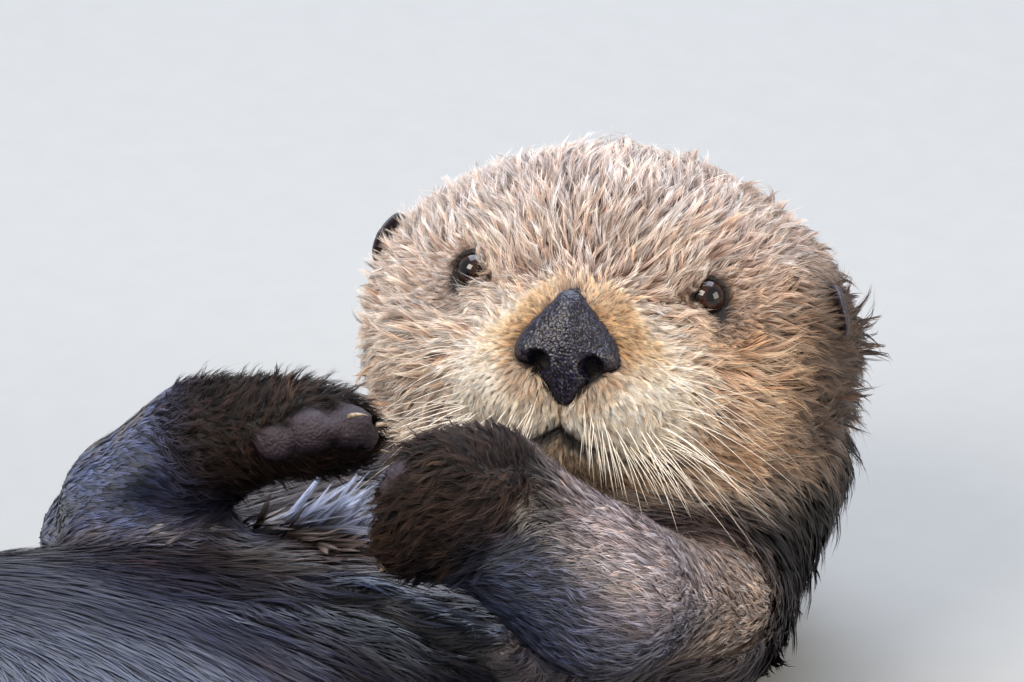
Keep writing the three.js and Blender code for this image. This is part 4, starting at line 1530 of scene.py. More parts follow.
@dataclass
class Coat:
    """The whole coat: thin tapered tufts, gathered in locks, that lie along the skin."""

    skin: Skin
    tree: BVHTree | None = None

    def build(self, cuts: list[Cut], members: np.ndarray, finishes: dict[str, bpy.types.Material]) -> None:
        """Grows each cut on its own triangles of the skin.

        Args:
            cuts: the stretches of coat.
            members: each triangle's stretch.
            finishes: finishes by slot or by name.
        """
        self.tree = self.skin.surface.tree()
        for n, cut in enumerate(cuts):
            rng = np.random.default_rng(100 + n)
            piece = self.grow(cut, members == n, rng, finishes[cut.finish or cut.slot])
            finished(piece, cut.slot)

    def sown(self, member: np.ndarray, count: int, rng: np.random.Generator, dense: float) -> Sown:
        """Random roots on the skin.

        Args:
            member: the triangles to sow on.
            count: how many roots.
            rng: the source of the random draws.
            dense: 0 for an even spread, 1 for more roots where the hair is short.

        Returns:
            The roots' triangles and the shares of their corners.
        """
        fields, surface = self.skin.fields, self.skin.surface
        corner_length = fields["length"][surface.triangles].mean(1)
        bare = fields["bare"][surface.triangles].mean(1)
        weight = surface.areas() * member * np.clip(1 - bare * 1.4, 0, 1)
        weight = weight * (0.01 / corner_length) ** dense
        faces = rng.choice(len(weight), count, p=weight / weight.sum())
        first, second = rng.random(count), rng.random(count)
        turned = first + second > 1
        first, second = np.where(turned, 1 - first, first), np.where(turned, 1 - second, second)
        return faces, np.stack([1 - first - second, first, second], 1)

    def locks(self, cut: Cut, member: np.ndarray, rng: np.random.Generator) -> dict[str, np.ndarray]:
        """The middle lines of the locks, traced over the skin along the coat's lie.

        Args:
            cut: the stretch of coat.
            member: the triangles to grow on.
            rng: the source of the random draws.

        Returns:
            Paths and normals step by step, and each lock's tone, warmth and dullness.
        """
        fields, surface = self.skin.fields, self.skin.surface
        area = (surface.areas() * member).sum() / MM**2
        count = max(int(area / cut.lock), 40)
        faces, shares = self.sown(member, count, rng, 0.7)
        roots = surface.at(surface.places, faces, shares)
        length = surface.at(fields["length"], faces, shares) * rng.uniform(0.72, 1.28, count)
        depth = surface.at(fields["depth"] * fields["rise"], faces, shares)
        lift = cut.lift * rng.uniform(0.5, 1.15, count)
        proud = rng.random(count) < cut.stray
        lift = np.where(proud, lift * 1.7, lift)
        path, normals = [roots], [unit(surface.at(fields["normal"], faces, shares))]
        place = roots
        veer = rng.normal(0, cut.veer, (count, 1))
        for step in range(1, cut.steps + 1):
            way = surface.at(fields["lie"], faces, shares)
            way = unit(way + np.cross(normals[-1], way) * veer)
            guess = place + way * (length / cut.steps)[:, None]
            place, faces = surface.nearest(self.tree, guess)
            drift = apart(place, guess) > 0.006
            place = np.where(drift[:, None], guess, place)
            shares = surface.shares_of(faces, place)
            normal = unit(surface.at(fields["normal"], faces, shares))
            normal = np.where(drift[:, None], normals[-1], normal)
            rise = math.sin(step / cut.steps * math.pi / 2) ** 0.85
            path.append(place + normal * (depth * lift * rise)[:, None])
            normals.append(normal)
        return {
            "path": np.stack(path, 1),
            "normal": np.stack(normals, 1),
            "tone": rng.normal(0, 0.24, count) * cut.contrast,
            "warm": rng.normal(0, 0.06, count),
            "dull": rng.beta(1.2, 2.6, count) * cut.contrast,
        }

    def grow(
        self, cut: Cut, member: np.ndarray, rng: np.random.Generator, material: bpy.types.Material
    ) -> bpy.types.Object:
        """Makes one cut's tufts as a joined mesh.

        Args:
            cut: the stretch of coat.
            member: the triangles to grow on.
            rng: the source of the random draws.
            material: the finish.

        Returns:
            The new piece.
        """
        fields, surface = self.skin.fields, self.skin.surface
        locks = self.locks(cut, member, rng)
        index = KDTree(len(locks["path"]))
        for n, place in enumerate(locks["path"][:, 0].tolist()):
            index.insert(place, n)
        index.balance()
        count = cut.strands
        faces, shares = self.sown(member, count, rng, 0.8)
        roots = surface.at(surface.places, faces, shares)
        own = np.array([index.find(place)[1] for place in roots.tolist()])
        guard = rng.random(count) < cut.guard
        path, normals = self.lines(cut, locks, own, roots, guard, rng)
        normals[:, 0] = unit(surface.at(fields["normal"], faces, shares))
        size = surface.at(fields["length"], faces, shares)
        half = cut.width * MM / 2 * rng.uniform(0.7, 1.3, count) * np.clip(size / 0.009, 0.5, 1.15)
        half = half * np.where(guard, 0.62, 1.0)
        root, tip = surface.at(fields["root"], faces, shares), surface.at(fields["tip"], faces, shares)
        tip = mixed(tip, root, locks["dull"][own] * 0.75 * ~guard)
        tone = 1 + locks["tone"][own] + rng.normal(0, 0.12 * cut.contrast, count) + 0.14 * guard
        tint = np.clip(tone, 0.4, 1.7)[:, None] * (1 + locks["warm"][own][:, None] * np.array((1, 0, -1)))
        blend = rng.uniform(0.72, 1.15, count)
        flat = cut.chart.unroll(roots)
        # Painted shade: the roots are darkened to 0.6 of their colour, as shade deep in the coat over the
        # underfur's own darker colour.
        strands = Strands(path, normals, half, root * 0.6 * tint, tip * tint, blend, flat)
        roll = rng.uniform(-cut.roll, cut.roll, (count, 1, 1))
        return shown(cut.name, strands.mesh(cut.name, roll), material)

    def lines(
        self,
        cut: Cut,
        locks: dict[str, np.ndarray],
        own: np.ndarray,
        roots: np.ndarray,
        guard: np.ndarray,
        rng: np.random.Generator,
    ) -> tuple[np.ndarray, np.ndarray]:
        """Draws each tuft from its root toward the tip of its lock.

        Args:
            cut: the stretch of coat.
            locks: the locks' middle lines.
            own: each tuft's lock.
            roots: where the tufts start.
            guard: which tufts are long guard hairs that run past their lock.
            rng: the source of the random draws.

        Returns:
            The tufts' points and normals, step by step.
        """
        count, steps = len(roots), cut.steps
        offset = roots - locks["path"][own, 0]
        scale = np.where(guard, rng.uniform(0.95, 1.35, count), rng.uniform(0.6, 1.0, count))
        clump = np.where(guard, 0.45, 1.0) * cut.clump
        jolt = rng.normal(0, 1, (count, 3)) * (cut.frizz * MM) * np.where(guard, 1.9, 1.0)[:, None]
        rows, normals = [roots], [locks["normal"][own, 0]]
        for step in range(1, steps + 1):
            part = step / steps
            at = scale * step
            low = np.minimum(at.astype(int), steps - 1)
            share = (at - low)[:, None]
            along = locks["path"][own, low] * (1 - share) + locks["path"][own, low + 1] * share
            normal = unit(locks["normal"][own, low] * (1 - share) + locks["normal"][own, low + 1] * share)
            gather = (clump * part**1.1)[:, None]
            rows.append(along + offset * (1 - gather) + jolt * part**1.5)
            normals.append(normal)
        path, normals = np.stack(rows, 1), np.stack(normals, 1)
        path[:, :, 2] = np.maximum(path[:, :, 2], 0.0004)
        return path, normals


@dataclass(frozen=True)
class Feather:
    """A group of long loose locks: places and ways in millimetres from a CAD node's middle."""

    node: str
    start: tuple[float, float, float]
    end: tuple[float, float, float]
    way: tuple[float, float, float]
    count: int
    length: float
    width: float
    root: str
    tip: str
    fan: float = 0.35
    rise: float = 0.25


@dataclass
class LooseLocks:
    """Long pointed wet locks that stand out of the coat on the chest."""

    skin: Skin
    hairs: int = 34
    steps: int = 5
    thick: float = 0.24
    groups: tuple[Feather, ...] = ()
    tree: BVHTree | None = None

    def build(self, chart: Chart, material: bpy.types.Material) -> None:
        """Makes every group's locks as one joined mesh.

        Args:
            chart: how the skin under them is unrolled.
            material: the finish.
        """
        self.tree = self.skin.surface.tree()
        rng = np.random.default_rng(55)
        parts = [self.lock(group, rng) for group in self.groups for _ in range(group.count)]
        path, normals, half, root, tip = (np.concatenate(rows) for rows in zip(*parts))
        blend = rng.uniform(0.8, 1.2, len(path))
        strands = Strands(path, normals, half, root, tip, blend, chart.unroll(path[:, 0]))
        roll = rng.uniform(-0.5, 0.5, (len(path), 1, 1))
        piece = shown("coat_loose_locks", strands.mesh("coat_loose_locks", roll), material)
        finished(piece, "body_fur")

    def lock(self, group: Feather, rng: np.random.Generator) -> tuple[np.ndarray, ...]:
        """One lock: a leaf-shaped bundle of hairs that spreads from its root and closes to its tip.

        Args:
            group: the group it belongs to.
            rng: the source of the random draws.

        Returns:
            Points, normals, half widths, root colours and tip colours of its hairs.
        """
        middle = centre(group.node)
        at = np.array(group.start) + (np.array(group.end) - np.array(group.start)) * rng.random()
        near, normal, _, _ = self.tree.find_nearest(middle + (at + rng.normal(0, 1.5, 3)) * MM)
        root, up = np.array(near), np.array(normal)
        way = unit(unit(np.array(group.way)) + rng.normal(0, group.fan, 3))
        length = group.length * rng.uniform(0.7, 1.2) * MM
        parts = np.linspace(0, 1, self.steps + 1)
        side = unit(np.cross(way, up))
        bend = rng.normal(0, 0.25)
        spine = root + (way[None] * parts[:, None] + side[None] * (bend * parts[:, None] ** 2)) * length
        spine = self.laid(spine, group.rise * length)
        spread = np.clip(parts * 1.6, 0.06, 1) ** 0.8 * (1 - 0.84 * parts**2.2) * group.width * MM / 2
        across = rng.uniform(-1, 1, (self.hairs, 1))
        points = np.round(across * 1.5 + rng.uniform(-0.2, 0.2)) / 1.5 * 0.85
        across = across + (points - across) * parts**2.5 * 0.5
        over = rng.normal(0, 0.3, (self.hairs, 1)) * (1 - parts) ** 0.5 * 0.4
        path = spine[None] + (across * spread)[:, :, None] * side + (over * spread)[:, :, None] * up
        reach = rng.uniform(0.75, 1.0, self.hairs)
        path = path[:, :1] + (path - path[:, :1]) * reach[:, None, None]
        tone = np.clip(rng.normal(1, 0.14), 0.6, 1.4) * np.clip(rng.normal(1, 0.12, self.hairs), 0.6, 1.4)
        half = self.thick * MM / 2 * rng.uniform(0.6, 1.3, self.hairs)
        normals = np.tile(up, (self.hairs, self.steps + 1, 1))
        return path, normals, half, srgb(group.root) * tone[:, None], srgb(group.tip) * tone[:, None]

    def laid(self, spine: np.ndarray, rise: float) -> np.ndarray:
        """The lock's middle line kept above the skin, rising toward its tip.

        Args:
            spine: the middle line.
            rise: how far its tip stands up, in metres.

        Returns:
            The line's new places.
        """
        lifted = [spine[0]]
        for n, place in enumerate(spine[1:], 1):
            near, normal, _, _ = self.tree.find_nearest(place)
            above = (place - np.array(near)) @ np.array(normal)
            want = 2.5 * MM + rise * (n / self.steps) ** 1.2
            lifted.append(place + np.array(normal) * max(want - above, 0.0))
        return np.array(lifted)


LOCKS = (
    Feather(
        "chest", start=(-18, -29, 40), end=(20, -18, 44), way=(0.62, 0.62, 0.55),
        count=46, length=33, width=6.4, root="#5A5A72", tip="#D4D9EC", fan=0.28, rise=0.34,
    ),
    Feather(
        "chest", start=(-26, -33, 40), end=(18, -29, 42), way=(0.8, 0.35, 0.3),
        count=40, length=20, width=4.4, root="#3B3230", tip="#A8968E", fan=0.34, rise=0.2,
    ),
)


# ---------------------------------------------------------------- finishes


Sockets = dict[str, object]
Stop = tuple[float, str]


def wire(tree: bpy.types.NodeTree, made: bpy.types.Node, sockets: Sockets) -> None:
    """Fills a node's input sockets.

    Args:
        tree: the material's node tree.
        made: the node.
        sockets: for each input socket, a value or another node's output socket.
    """
    for name, value in sockets.items():
        if isinstance(value, bpy.types.NodeSocket):
            tree.links.new(value, made.inputs[name])
        else:
            made.inputs[name].default_value = value


def node(
    tree: bpy.types.NodeTree,
    kind: str,
    sockets: Sockets | None = None,
    stops: tuple[Stop, ...] = (),
    **settings: object,
) -> bpy.types.NodeOutputs:
    """Adds a shader node.

    Args:
        tree: the material's node tree.
        kind: the node's type name without "ShaderNode".
        sockets: what goes into its input sockets.
        stops: places and colours of a colour ramp.
        settings: properties of the node.

    Returns:
        The new node's output sockets.
    """
    made = tree.nodes.new("ShaderNode" + kind)
    for name, value in settings.items():
        setattr(made, name, value)
    for n, (place, colour) in enumerate(stops):
        made.color_ramp.elements[n].position = place
        made.color_ramp.elements[n].color = (*srgb(colour), 1)
    wire(tree, made, sockets or {})
    return made.outputs


def surface_of(name: str) -> tuple[bpy.types.Material, bpy.types.NodeTree, bpy.types.Node]:
    """A new material, its tree and its principled shader.

    Args:
        name: the material's name.

    Returns:
        All three.
    """
    material = bpy.data.materials.new(name)
    material.use_nodes = True
    return material, material.node_tree, material.node_tree.nodes["Principled BSDF"]


def grain_of(
    tree: bpy.types.NodeTree, size: float, kind: str = "TexNoise", **sockets: float
) -> bpy.types.NodeOutputs:
    """A pattern that stays on the piece.

    Args:
        tree: the material's node tree.
        size: the pattern's size in millimetres.
        kind: the pattern's node type.
        sockets: the pattern's other settings.

    Returns:
        The pattern's output sockets.
    """
    place = node(tree, "TexCoord")["Object"]
    return node(tree, kind, {"Vector": place, "Scale": 1 / (size * MM), **sockets})


def streaked(
    tree: bpy.types.NodeTree, grain: bpy.types.NodeOutputs, low: float, high: float
) -> bpy.types.NodeSocket:
    """The markings' colour made darker and lighter by a grain.

    Args:
        tree: the material's node tree.
        grain: the pattern.
        low: the share of the colour left where the pattern is darkest.
        high: the same where it is lightest.

    Returns:
        The socket that gives the colour.
    """
    colour = node(tree, "Attribute", attribute_name="markings")
    tone = node(tree, "MapRange", {"Value": grain["Fac"], "To Min": low, "To Max": high})
    pair = {"Factor": 1.0, "A": colour["Color"], "B": tone["Result"]}
    return node(tree, "Mix", pair, data_type="RGBA", blend_type="MULTIPLY")["Result"]


@dataclass(frozen=True)
class HairFinish:
    """Keratin guard hair: a clear horn sheath over pigment, which gives a soft gloss along each lock."""

    name: str
    roughness: float
    specular: float
    grain: float = 2.2

    def material(self) -> bpy.types.Material:
        """Colour from the markings with fine streaks of light and dark hairs.

        Returns:
            The new material.
        """
        material, tree, shader = surface_of(self.name)
        colour = streaked(tree, grain_of(tree, self.grain, Detail=2.0), 0.82, 1.2)
        sockets = {"Roughness": self.roughness, "IOR": 1.55, "Specular IOR Level": self.specular}
        wire(tree, shader, {"Base Color": colour, **sockets})
        return material


@dataclass(frozen=True)
class HideFinish:
    """Haired hide under the guard hairs: dense wool, matt, with the grain of parted hair."""

    name: str
    grain: float
    roughness: float
    bump: float
    pebble: float = 1.3

    def material(self) -> bpy.types.Material:
        """Markings broken by fine wool, with a bump of matted hair.

        Returns:
            The new material.
        """
        material, tree, shader = surface_of(self.name)
        wool = grain_of(tree, self.grain, Detail=5.0, Roughness=0.7)
        height = {"Height": wool["Fac"], "Strength": self.bump, "Distance": 1.4 * MM}
        matted = node(tree, "Bump", height)["Normal"]
        cells = grain_of(tree, self.pebble, "TexVoronoi")["Distance"]
        height = {"Height": cells, "Strength": 0.8, "Distance": 0.5 * MM, "Normal": matted}
        normal = node(tree, "Bump", height, invert=True)["Normal"]
        colour = streaked(tree, wool, 0.6, 1.35)
        wire(tree, shader, {"Base Color": colour, "Normal": normal, "Roughness": self.roughness})
        return material


@dataclass(frozen=True)
class LeatherFinish:
    """Bare wet skin such as a nose or palm: pebbled, blue-black, with a broken gloss on each pebble."""

    name: str
    dark: str
    light: str
    pebble: float
    roughness: float
    bump: float = 0.6

    def material(self) -> bpy.types.Material:
        """Dark skin with paler pebbles, whose paler middles are a painted highlight on each pebble.

        Returns:
            The new material.
        """
        material, tree, shader = surface_of(self.name)
        cells = grain_of(tree, self.pebble, "TexVoronoi")["Distance"]
        # Painted highlight: the pebbles' middles take the paler colour as a glint on each pebble.
        colour = node(tree, "ValToRGB", {"Fac": cells}, ((0.12, self.light), (0.5, self.dark)))["Color"]
        height = {"Height": cells, "Strength": self.bump, "Distance": 0.25 * MM}
        normal = node(tree, "Bump", height, invert=True)["Normal"]
        sockets = {"Roughness": self.roughness, "Specular IOR Level": 0.5}
        wire(tree, shader, {"Base Color": colour, "Normal": normal, **sockets})
        return material


@dataclass(frozen=True)
class HornFinish:
    """Horn or whisker keratin: translucent, polished by wear, streaked along its growth."""

    name: str
    colour: str
    root: str
    roughness: float
    grain: float = 1.2

    def material(self) -> bpy.types.Material:
        """Pale horn with faint streaks.

        Returns:
            The new material.
        """
        material, tree, shader = surface_of(self.name)
        grain = grain_of(tree, self.grain)["Fac"]
        colour = node(tree, "ValToRGB", {"Fac": grain}, ((0.3, self.root), (0.6, self.colour)))["Color"]
        wire(tree, shader, {"Base Color": colour, "Roughness": self.roughness})
        return material


@dataclass(frozen=True)
class EyeFinish:
    """A wet eyeball: a dark brown iris under a clear polished cornea, with sharp highlights."""

    name: str = "wet_cornea"

    def material(self) -> bpy.types.Material:
        """Colour from the eye's own markings under a smooth clear coat.

        Returns:
            The new material.
        """
        material, tree, shader = surface_of(self.name)
        colour = node(tree, "Attribute", attribute_name="markings")["Color"]
        wet = {"Roughness": 0.05, "IOR": 1.376, "Specular IOR Level": 0.1}
        film = {"Coat Weight": 1.0, "Coat Roughness": 0.015, "Coat IOR": 1.5}
        wire(tree, shader, {"Base Color": colour, **wet, **film})
        return material


# ---------------------------------------------------------------- eyes, nose, ears, claws, whiskers


@dataclass
class Eyes:
    """Both eyeballs, each with a bulging cornea over an iris and pupil."""

    iris: float = 5.4
    pupil: float = 3.0
    cornea: float = 0.75

    def build(self, material: bpy.types.Material) -> None:
        """Makes one eyeball for each side.

        Args:
            material: the finish.
        """
        for side, sign in SIDES.items():
            shape = bmesh.new()
            bmesh.ops.create_uvsphere(shape, u_segments=64, v_segments=48, radius=EYE.radius)
            places = spots(shape)
            out = np.hypot(places[:, 0], places[:, 1])
            dome = np.clip(1 - (out / (self.iris + 0.6)) ** 2, 0, 1) ** 0.8
            places[:, 2] += self.cornea * dome * (places[:, 2] > 0)
            around = np.arctan2(places[:, 1], places[:, 0])
            spoke = lumps(np.stack([around * 6, out * 0.3, out * 0], 1), 1.0, 31)
            colours = mixed(srgb("#22100A"), srgb("#3A1E12"), ramp(-0.5, 1, spoke))
            colours = mixed(colours, srgb("#050404"), ramp(self.pupil + 0.5, self.pupil - 0.4, out))
            colours = mixed(colours, srgb("#140D0B"), ramp(self.iris - 0.5, self.iris + 0.3, out))
            local = places @ EYE.axes(sign) + EYE.middle(sign)
            put_on_skull(shape, local)
            piece = smooth_piece(f"eyeball_{side}", shape, material)
            paint(piece.data, colours)
            finished(piece, "eye", f"eye_{side}")


@dataclass(frozen=True)
class Nose:
    """The bare nose: a spade-shaped pad with two comma-shaped nostrils, in the skull's millimetres."""

    at: tuple[float, float, float] = (0.0, -2.0, 79.2)
    deep: float = 8.4
    lean: float = -0.05
    grain: float = 1.0
    outline: tuple[tuple[float, float], ...] = (
        (0, 20.6), (3.2, 19.4), (6.3, 15.6), (10.5, 10.9), (14.6, 6.4),
        (17.8, 1.6), (19.2, -2.4), (19.0, -5.4), (16.8, -7.4), (12.8, -9.0),
        (9.8, -11.6), (5.8, -16.2), (2.6, -20.0), (0, -21.2),
    )

    def reach(self, angle: np.ndarray) -> np.ndarray:
        """The outline's distance from its middle at angles from straight up.

        Args:
            angle: angles in radians.

        Returns:
            One distance for each angle.
        """
        points = np.array(self.outline)
        angles = np.arctan2(points[:, 0], points[:, 1])
        return np.interp(np.abs(angle), angles, np.linalg.norm(points, axis=1))

    def out(self, flat: np.ndarray) -> np.ndarray:
        """How far out from the pad's middle a place seen from the front is: 1 on its outline.

        Args:
            flat: places across and up, in the skull's millimetres.

        Returns:
            One number for each place.
        """
        across, up = flat[:, 0] - self.at[0], flat[:, 1] - self.at[1]
        across = across - self.lean * up
        return np.hypot(across, up) / self.reach(np.arctan2(across, up))

    def height(self, across: np.ndarray, up: np.ndarray, share: np.ndarray) -> np.ndarray:
        """How far the pad stands out at a place, with its wings, ridge, nostrils and slits.

        Args:
            across: places beside the middle.
            up: places above it.
            share: how far out each is.

        Returns:
            One height for each place.
        """
        side = np.abs(across)
        rise = self.deep * np.sqrt(np.clip(1 - share**2.6, 0, 1)) - 0.07 * np.clip(up, 0, 99)
        rise += 1.9 * np.exp(-(((side - 14.6) / 4.2) ** 2) - (((up + 1.4) / 3.6) ** 2))
        rise += 0.7 * np.exp(-((side / 3.4) ** 2) - (((up - 2) / 10) ** 2))
        rise += 1.0 * np.exp(-(((side - 4.4) / 2.0) ** 2) - (((up + 8) / 5.0) ** 2))
        rise -= 1.8 * ramp(6.5, 9.5, side) * ramp(-6.5, -8.5, up)
        turn = 0.5
        along = (side - 9.4) * math.cos(turn) + (up + 5.4) * math.sin(turn)
        over = -(side - 9.4) * math.sin(turn) + (up + 5.4) * math.cos(turn)
        pit = np.hypot(along / 4.3, over / 3.7)
        rise -= 8.0 * ramp(1.2, 0.55, pit)
        bend = up + 7.4 + 0.12 * (side - 9)
        slit = bell(bend, 1.5) * ramp(8.5, 11, side) * ramp(19.5, 16, side)
        rise -= 3.4 * slit
        groove = bell(across, 0.55) * ramp(-6, -11, up)
        return rise - 1.1 * groove

    def build(self, material: bpy.types.Material) -> None:
        """Makes the nose from a ball whose front half takes the spade's shape.

        Args:
            material: the finish.
        """
        shape = bmesh.new()
        bmesh.ops.create_icosphere(shape, subdivisions=6, radius=1.0)
        ball = spots(shape)
        front = ball[:, 2] > 0
        share = np.hypot(ball[:, 0], ball[:, 1])
        share = np.where(front, np.arccos(np.clip(ball[:, 2], -1, 1)) / (math.pi / 2), share)
        angle = np.arctan2(ball[:, 0], ball[:, 1])
        reach = self.reach(angle) * share
        across, up = np.sin(angle) * reach, np.cos(angle) * reach
        rise = self.height(across, up, share)
        grain = pebbles(np.stack([across, up, rise * 0.4], 1), self.grain, 41)
        rise = rise + 0.36 * ramp(0.75, 0.15, grain) * ramp(1.0, 0.92, share) * ramp(-1.0, 1.5, rise)
        rise = np.where(front, rise, 4.0 * ball[:, 2])
        local = np.stack([across + self.lean * up, up, rise], 1) + self.at
        put_on_skull(shape, local)
        piece = smooth_piece("nose_pad", shape, material)
        finished(piece, "nose_skin", "nose")


@dataclass
class Ears:
    """Two small leathery ears, cupped and rolled at the rim, in the skull's millimetres."""

    at: tuple[float, float, float] = (81.5, 17.5, 5.0)
    height: float = 21.0
    width: float = 15.5
    sunk: tuple[float, float, float] = (3.5, 0.0, 3.0)
    thick: float = 5.6
    cup: float = 5.5
    lean: float = -0.35
    swing: float = 0.9
    tilt: float = 4.2

    def place(self, sign: float) -> np.ndarray:
        """The ear's middle; the right ear sits deeper in the fur."""
        at = np.array(self.at) - np.array(self.sunk) * (sign < 0)
        return at * (sign, 1, 1) - (0, self.tilt * sign, 0)

    def build(self, material: bpy.types.Material) -> None:
        """Makes one ear for each side from a ball pressed to a cupped leaf.

        Args:
            material: the finish.
        """
        for side, sign in SIDES.items():
            shape = bmesh.new()
            bmesh.ops.create_uvsphere(shape, u_segments=48, v_segments=32, radius=1.0)
            leaf = spots(shape)[:, [0, 2, 1]] * (1, 1, -1)
            thin, up, across = leaf.T
            outer = np.hypot(up, across)
            hollow = self.cup * (1 - across**2) * (1 - 0.4 * up**2)
            rim = ramp(0.7, 0.95, outer) * 1.3
            thin = thin * self.thick / 2 * (0.55 + 0.45 * rim) + hollow + rim
            across = across * (1 - 0.32 * np.clip(up, 0, 1)) * self.width / 2
            up = up * self.height / 2
            ridge = 0.7 * bell(across - 1.5, 1.6) * (leaf[:, 0] > 0)
            places = np.stack([thin + ridge, up, across], 1)
            places = places @ np.array(Matrix.Rotation(self.lean, 3, "X")).T
            places = places @ np.array(Matrix.Rotation(self.swing, 3, "Y")).T
            places = places * (sign, 1, 1) + self.place(sign)
            put_on_skull(shape, places)
            piece = smooth_piece(f"ear_leaf_{side}", shape, material)
            finished(piece, "bare_skin", f"ear_{side}")


@dataclass
class Claws:
    """Short curved claws, one set for each foot, in millimetres."""

    sides: int = 12
    rings: int = 7
    droop: float = 0.28

    def one(self, shape: bmesh.types.BMesh, name: str, digits: np.ndarray, radius: float) -> None:
        """Adds one claw, curved from its root toward its tip, where its CAD node lies.

        Args:
            shape: the bmesh that gets the claw.
            name: the claw's CAD node.
            digits: the foot's middle.
            radius: its radius at the root.
        """
        places = np.array([vertex.co[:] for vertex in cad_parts[name].data.vertices])
        away = apart(places, digits)
        tip, root = places[away.argmax()], places[away <= np.median(away)].mean(0)
        along = tip - root
        length = np.linalg.norm(along)
        claw = bmesh.new()
        bmesh.ops.create_cone(
            claw, cap_ends=True, segments=self.sides, radius1=radius * MM, radius2=0.12 * MM, depth=length
        )
        rails = [edge for edge in claw.edges if abs(edge.verts[0].co.z - edge.verts[1].co.z) > length / 2]
        bmesh.ops.subdivide_edges(claw, edges=rails, cuts=self.rings)
        turn = Vector((0, 0, 1)).rotation_difference(Vector(unit(along))).to_matrix()
        bow = Vector((0, 0, self.droop * length))
        for vertex in claw.verts:
            share = vertex.co.z / length + 0.5
            swell = 1 + 0.35 * math.sin(share * math.pi)
            flat = turn @ Vector((vertex.co.x * swell * 0.85, vertex.co.y * swell, 0))
            start = Vector(root) + Vector(along) * (share * 1.05 - 0.3)
            vertex.co = start + flat + bow * share * (1 - share)
        copy = bpy.data.meshes.new(name)
        claw.to_mesh(copy)
        claw.free()
        shape.from_mesh(copy)
        bpy.data.meshes.remove(copy)

    def build(self, material: bpy.types.Material) -> None:
        """Makes four sets of five claws.

        Args:
            material: the finish.
        """
        for kind, limbs, radius in (("fore", ARMS, 1.05), ("hind", LEGS, 2.2)):
            for side, limb in limbs.items():
                shape = bmesh.new()
                names = [f"claw_{kind}_{side}_{n}" for n in range(1, 6)]
                for name in names:
                    self.one(shape, name, limb.run()[2], radius)
                piece = smooth_piece(f"claws_{kind}_{side}", shape, material)
                finished(piece, "claw", *names)


